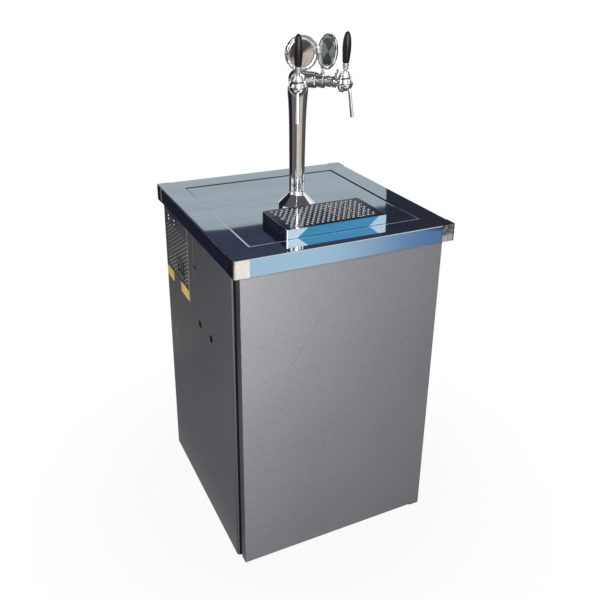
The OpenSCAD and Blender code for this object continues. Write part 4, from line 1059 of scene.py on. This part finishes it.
# The medallion faces carry painted reflections in their colours.
make_medallion_face(0, "left_medallion", rgb(0.075, 0.062, 0.06), rgb(0.60, 0.50, 0.43), 1.0, -62.0)
make_medallion_face(1, "right_medallion", rgb(0.085, 0.105, 0.10), rgb(0.36, 0.39, 0.38), 2.0, -12.0)
make_label("label_rear", 230.0, 297.0, 644.0, 675.0)
make_label("label_middle", 78.0, 160.0, 644.0, 675.0)
make_plug()
# The two folds carry painted highlights in their lighter coats.
make_bead("vent_fold", 79.5, 640.0, 862.0, 3.4, 0.5, fold_highlight_coat)
make_bead("panel_fold", 29.0, 726.0, 862.0, 2.2, 0.35, faint_highlight_coat)

for node in ("worktop_core", "insulation_boards", "door_insulation", "condenser"):
    nodes[node].data.materials.clear()
    nodes[node].data.materials.append(finishes[slot_of[node]])


# Floor, light and camera

def show_white(pen):
    """1 for rays that should meet a white background."""
    camera = pen.node("ShaderNodeLightPath", {}, {}, "Is Camera Ray")
    glossy = pen.node("ShaderNodeLightPath", {}, {}, "Is Glossy Ray")
    through = pen.node("ShaderNodeLightPath", {}, {}, "Is Transmission Ray")
    return pen.maths("MINIMUM", camera + glossy + through, 1.0)


def make_world():
    """Soft pale light from all round, which is seen as white."""
    world = bpy.data.worlds.new("studio")
    bpy.context.scene.world = world
    pen = bare_nodes(world)
    soft = pen.node("ShaderNodeBackground", {}, {"Color": rgb(0.94, 0.97, 1.0), "Strength": 0.14})
    white = pen.node("ShaderNodeBackground", {}, {"Color": rgb(1.0, 1.0, 1.0), "Strength": 1.0})
    mixed = pen.node("ShaderNodeMixShader", {}, {0: show_white(pen), 1: soft, 2: white})
    pen.node("ShaderNodeOutputWorld", {}, {"Surface": mixed}, None)


def make_floor():
    """Pale floor, which keeps a little of the shadow close to the object."""
    wide, drop = 30.0, 0.0005
    shade_from, shade_to, least_white = 0.30, 0.95, 0.94
    bpy.ops.object.select_all(action="DESELECT")
    bpy.ops.mesh.primitive_plane_add(size=wide, location=(0.0, 0.0, -drop))
    floor = added("floor")
    finish = bpy.data.materials.new("pale_floor")
    pen = bare_nodes(finish)
    paint = pen.node("ShaderNodeBsdfDiffuse", {}, {"Color": rgb(0.18, 0.18, 0.18)})
    white = pen.node("ShaderNodeEmission", {}, {"Color": rgb(1.0, 1.0, 1.0), "Strength": 1.0})
    place = pen.node("ShaderNodeTexCoord", {}, {}, "Object")
    reach = pen.node("ShaderNodeVectorMath", {"operation": "LENGTH"}, {0: place}, "Value")
    share = reach.step(shade_from, shade_to) * (1.0 - least_white) + least_white
    mixed = pen.node("ShaderNodeMixShader", {}, {0: show_white(pen) * share, 1: paint, 2: white})
    pen.node("ShaderNodeOutputMaterial", {}, {"Surface": mixed}, None)
    floor.data.materials.append(finish)


def aim(thing, place, target):
    """Puts a thing at a place and points it at a target."""
    thing.location = place
    way = Vector(target) - Vector(place)
    thing.rotation_euler = way.to_track_quat("-Z", "Y").to_euler()


def make_lamp(name, place, target, size, power, colour, glint=False):
    """Area lamp out of sight: it lights surfaces, or as a glint shows only in reflections."""
    lamp = bpy.data.lights.new(name, "AREA")
    lamp.shape = "RECTANGLE"
    lamp.size = size[0]
    lamp.size_y = size[1]
    lamp.energy = power
    lamp.color = colour
    thing = bpy.data.objects.new(name, lamp)
    bpy.context.scene.collection.objects.link(thing)
    thing.visible_glossy = glint
    thing.visible_diffuse = not glint
    thing.visible_camera = False
    aim(thing, place, target)


def make_board(name, corners, tone):
    """A studio board that only polished surfaces see."""
    mesh = bpy.data.meshes.new(name)
    mesh.from_pydata(corners, [], [list(range(len(corners)))])
    board = bpy.data.objects.new(name, mesh)
    bpy.context.scene.collection.objects.link(board)
    finish = bpy.data.materials.new(name)
    pen = bare_nodes(finish)
    glow = pen.node("ShaderNodeEmission", {}, {"Color": tone, "Strength": 1.0})
    pen.node("ShaderNodeOutputMaterial", {}, {"Surface": glow}, None)
    mesh.materials.append(finish)
    board.visible_camera = False
    board.visible_diffuse = False
    board.visible_shadow = False
    board.visible_transmission = False


def spot_at(bearing, reach, height):
    """A point at a bearing in degrees, counted from the front towards the right."""
    turn = math.radians(bearing)
    return (math.sin(turn) * reach, -math.cos(turn) * reach, height)


def ground_board(name, start, end, near, tone, far=14.0):
    """A sector of toned ground, for the reflections in the tower."""
    count, height = 6, 0.002
    bearings = [start + (end - start) * step / count for step in range(count + 1)]
    inner = [spot_at(bearing, near, height) for bearing in bearings]
    outer = [spot_at(bearing, far, height) for bearing in reversed(bearings)]
    make_board(name, inner + outer, tone)


def flat_board(name, x0, y0, x1, y1, height, tone):
    """A level rectangular board."""
    make_board(name, [(x0, y0, height), (x1, y0, height), (x1, y1, height), (x0, y1, height)], tone)


def overhead_board(name, near_left, near_right, far_right, far_left, tone):
    """A board over the object, from four X places on its near and far sides."""
    near, far, height = -2.9, 6.0, 5.0
    make_board(name, [(near_left, near, height), (near_right, near, height), (far_right, far, height),
                      (far_left, far, height)], tone)


def upright_board(name, start, end, reach, low, high, tone):
    """A board standing between two bearings."""
    make_board(name, [spot_at(start, reach, low[0]), spot_at(end, reach, low[1]),
                      spot_at(end, reach, high), spot_at(start, reach, high)], tone)


def make_camera():
    """Camera at the photograph's viewing angle."""
    frame_px, focal_px, film = 600.0, 716.279, 36.0
    eye = (-0.801232, -1.674807, 1.552651)
    yaw = math.radians(26.496)
    pitch = math.radians(22.497)
    roll = math.radians(0.970)
    forward = Vector((math.sin(yaw) * math.cos(pitch), math.cos(yaw) * math.cos(pitch), -math.sin(pitch)))
    level = Vector((math.cos(yaw), -math.sin(yaw), 0.0))
    upright = level.cross(forward)
    right = math.cos(roll) * level + math.sin(roll) * upright
    up = math.cos(roll) * upright - math.sin(roll) * level
    camera = bpy.data.cameras.new("camera")
    camera.sensor_width = film
    camera.lens = focal_px / frame_px * film
    camera.shift_x = -0.0101
    camera.shift_y = -0.0833
    camera.clip_end = 100.0
    thing = bpy.data.objects.new("camera", camera)
    bpy.context.scene.collection.objects.link(thing)
    turn = Matrix((right, up, -forward)).transposed()
    thing.matrix_world = Matrix.Translation(eye) @ turn.to_4x4()
    bpy.context.scene.camera = thing


make_camera()
make_world()
make_floor()
make_lamp("key", (-0.93, -1.15, 1.26), (-0.1, -0.2, 0.7), (0.4, 0.4), 36.5, (1.0, 0.98, 0.96))
make_lamp("fill", (2.6, 1.6, 2.0), (0.0, 0.0, 0.6), (1.5, 1.5), 60.0, (0.97, 0.98, 1.0))
make_lamp("sky", (-0.4, 0.4, 4.0), (0.0, 0.0, 0.5), (3.5, 3.5), 60.0, (0.94, 0.97, 1.0))
make_lamp("glint", (-0.45, -1.85, 1.80), (0.0, -0.1, 1.3), (0.5, 1.3), 28.0, (1.0, 1.0, 1.0), True)
dark_blue = rgb(0.045, 0.055, 0.095)
near_black = rgb(0.014, 0.016, 0.028)
brown = rgb(0.055, 0.047, 0.040)
grey_brown = rgb(0.13, 0.12, 0.11)
pale_tan = rgb(0.54, 0.51, 0.48)
green_grey = rgb(0.075, 0.085, 0.082)
overhead = rgb(0.10, 0.103, 0.108)
sky_blue = rgb(0.42, 0.47, 0.51)
steel_grey = rgb(0.10, 0.105, 0.115)
mid_grey = rgb(0.55, 0.56, 0.59)
pale_blue = rgb(0.58, 0.71, 0.87)
beige = rgb(0.70, 0.65, 0.60)
brown_grey = rgb(0.17, 0.15, 0.14)
olive = rgb(0.11, 0.10, 0.08)
navy = rgb(0.028, 0.030, 0.048)
upright_board("board_sky", 188.0, 122.0, 5.0, (1.35, 1.35), 3.6, sky_blue)
upright_board("board_behind", 185.0, 125.0, 4.6, (2.80, 2.05), 6.0, dark_blue)
upright_board("board_corner", 143.4, 122.0, 4.0, (1.9, 1.9), 6.0, navy)
upright_board("board_back_left", 184.0, 240.0, 4.4, (0.9, 0.9), 5.5, near_black)
upright_board("board_right_front", 52.0, 80.0, 5.0, (0.95, 0.95), 3.4, steel_grey)
upright_board("board_left_front", 285.0, 310.0, 5.0, (0.95, 0.95), 3.4, steel_grey)
upright_board("board_front_sky_left", 292.0, 335.0, 6.5, (1.9, 1.9), 5.0, pale_blue)
upright_board("board_front_sky_right", 335.0, 378.0, 6.5, (1.9, 1.9), 5.0, pale_blue)
ground_board("ground_back", 154.0, 224.0, 2.7, pale_tan)
ground_board("ground_left", 225.0, 258.0, 1.0, brown)
ground_board("ground_left_front", 258.0, 293.0, 1.0, brown_grey)
ground_board("ground_front_left", 293.0, 329.0, 2.4, grey_brown)
ground_board("ground_front", -31.0, 4.0, 2.9, beige)
ground_board("ground_near", -42.0, 2.0, 1.0, grey_brown, 2.1)
ground_board("ground_front_right", 4.0, 41.0, 2.9, pale_tan)
ground_board("ground_right_front", 41.0, 72.0, 1.0, olive)
ground_board("ground_right", 72.0, 139.0, 1.0, green_grey)
flat_board("board_low", -4.4, 0.6, -0.7, 5.2, 0.004, near_black)
flat_board("board_beside", -0.62, -0.45, -0.33, 0.9, 0.003, mid_grey)
overhead_board("overhead_left", -6.0, -1.05, 0.3, -6.0, overhead)
overhead_board("overhead_right", -0.75, 6.0, 6.0, 0.6, overhead)
bpy.context.scene.view_settings.view_transform = "Standard"
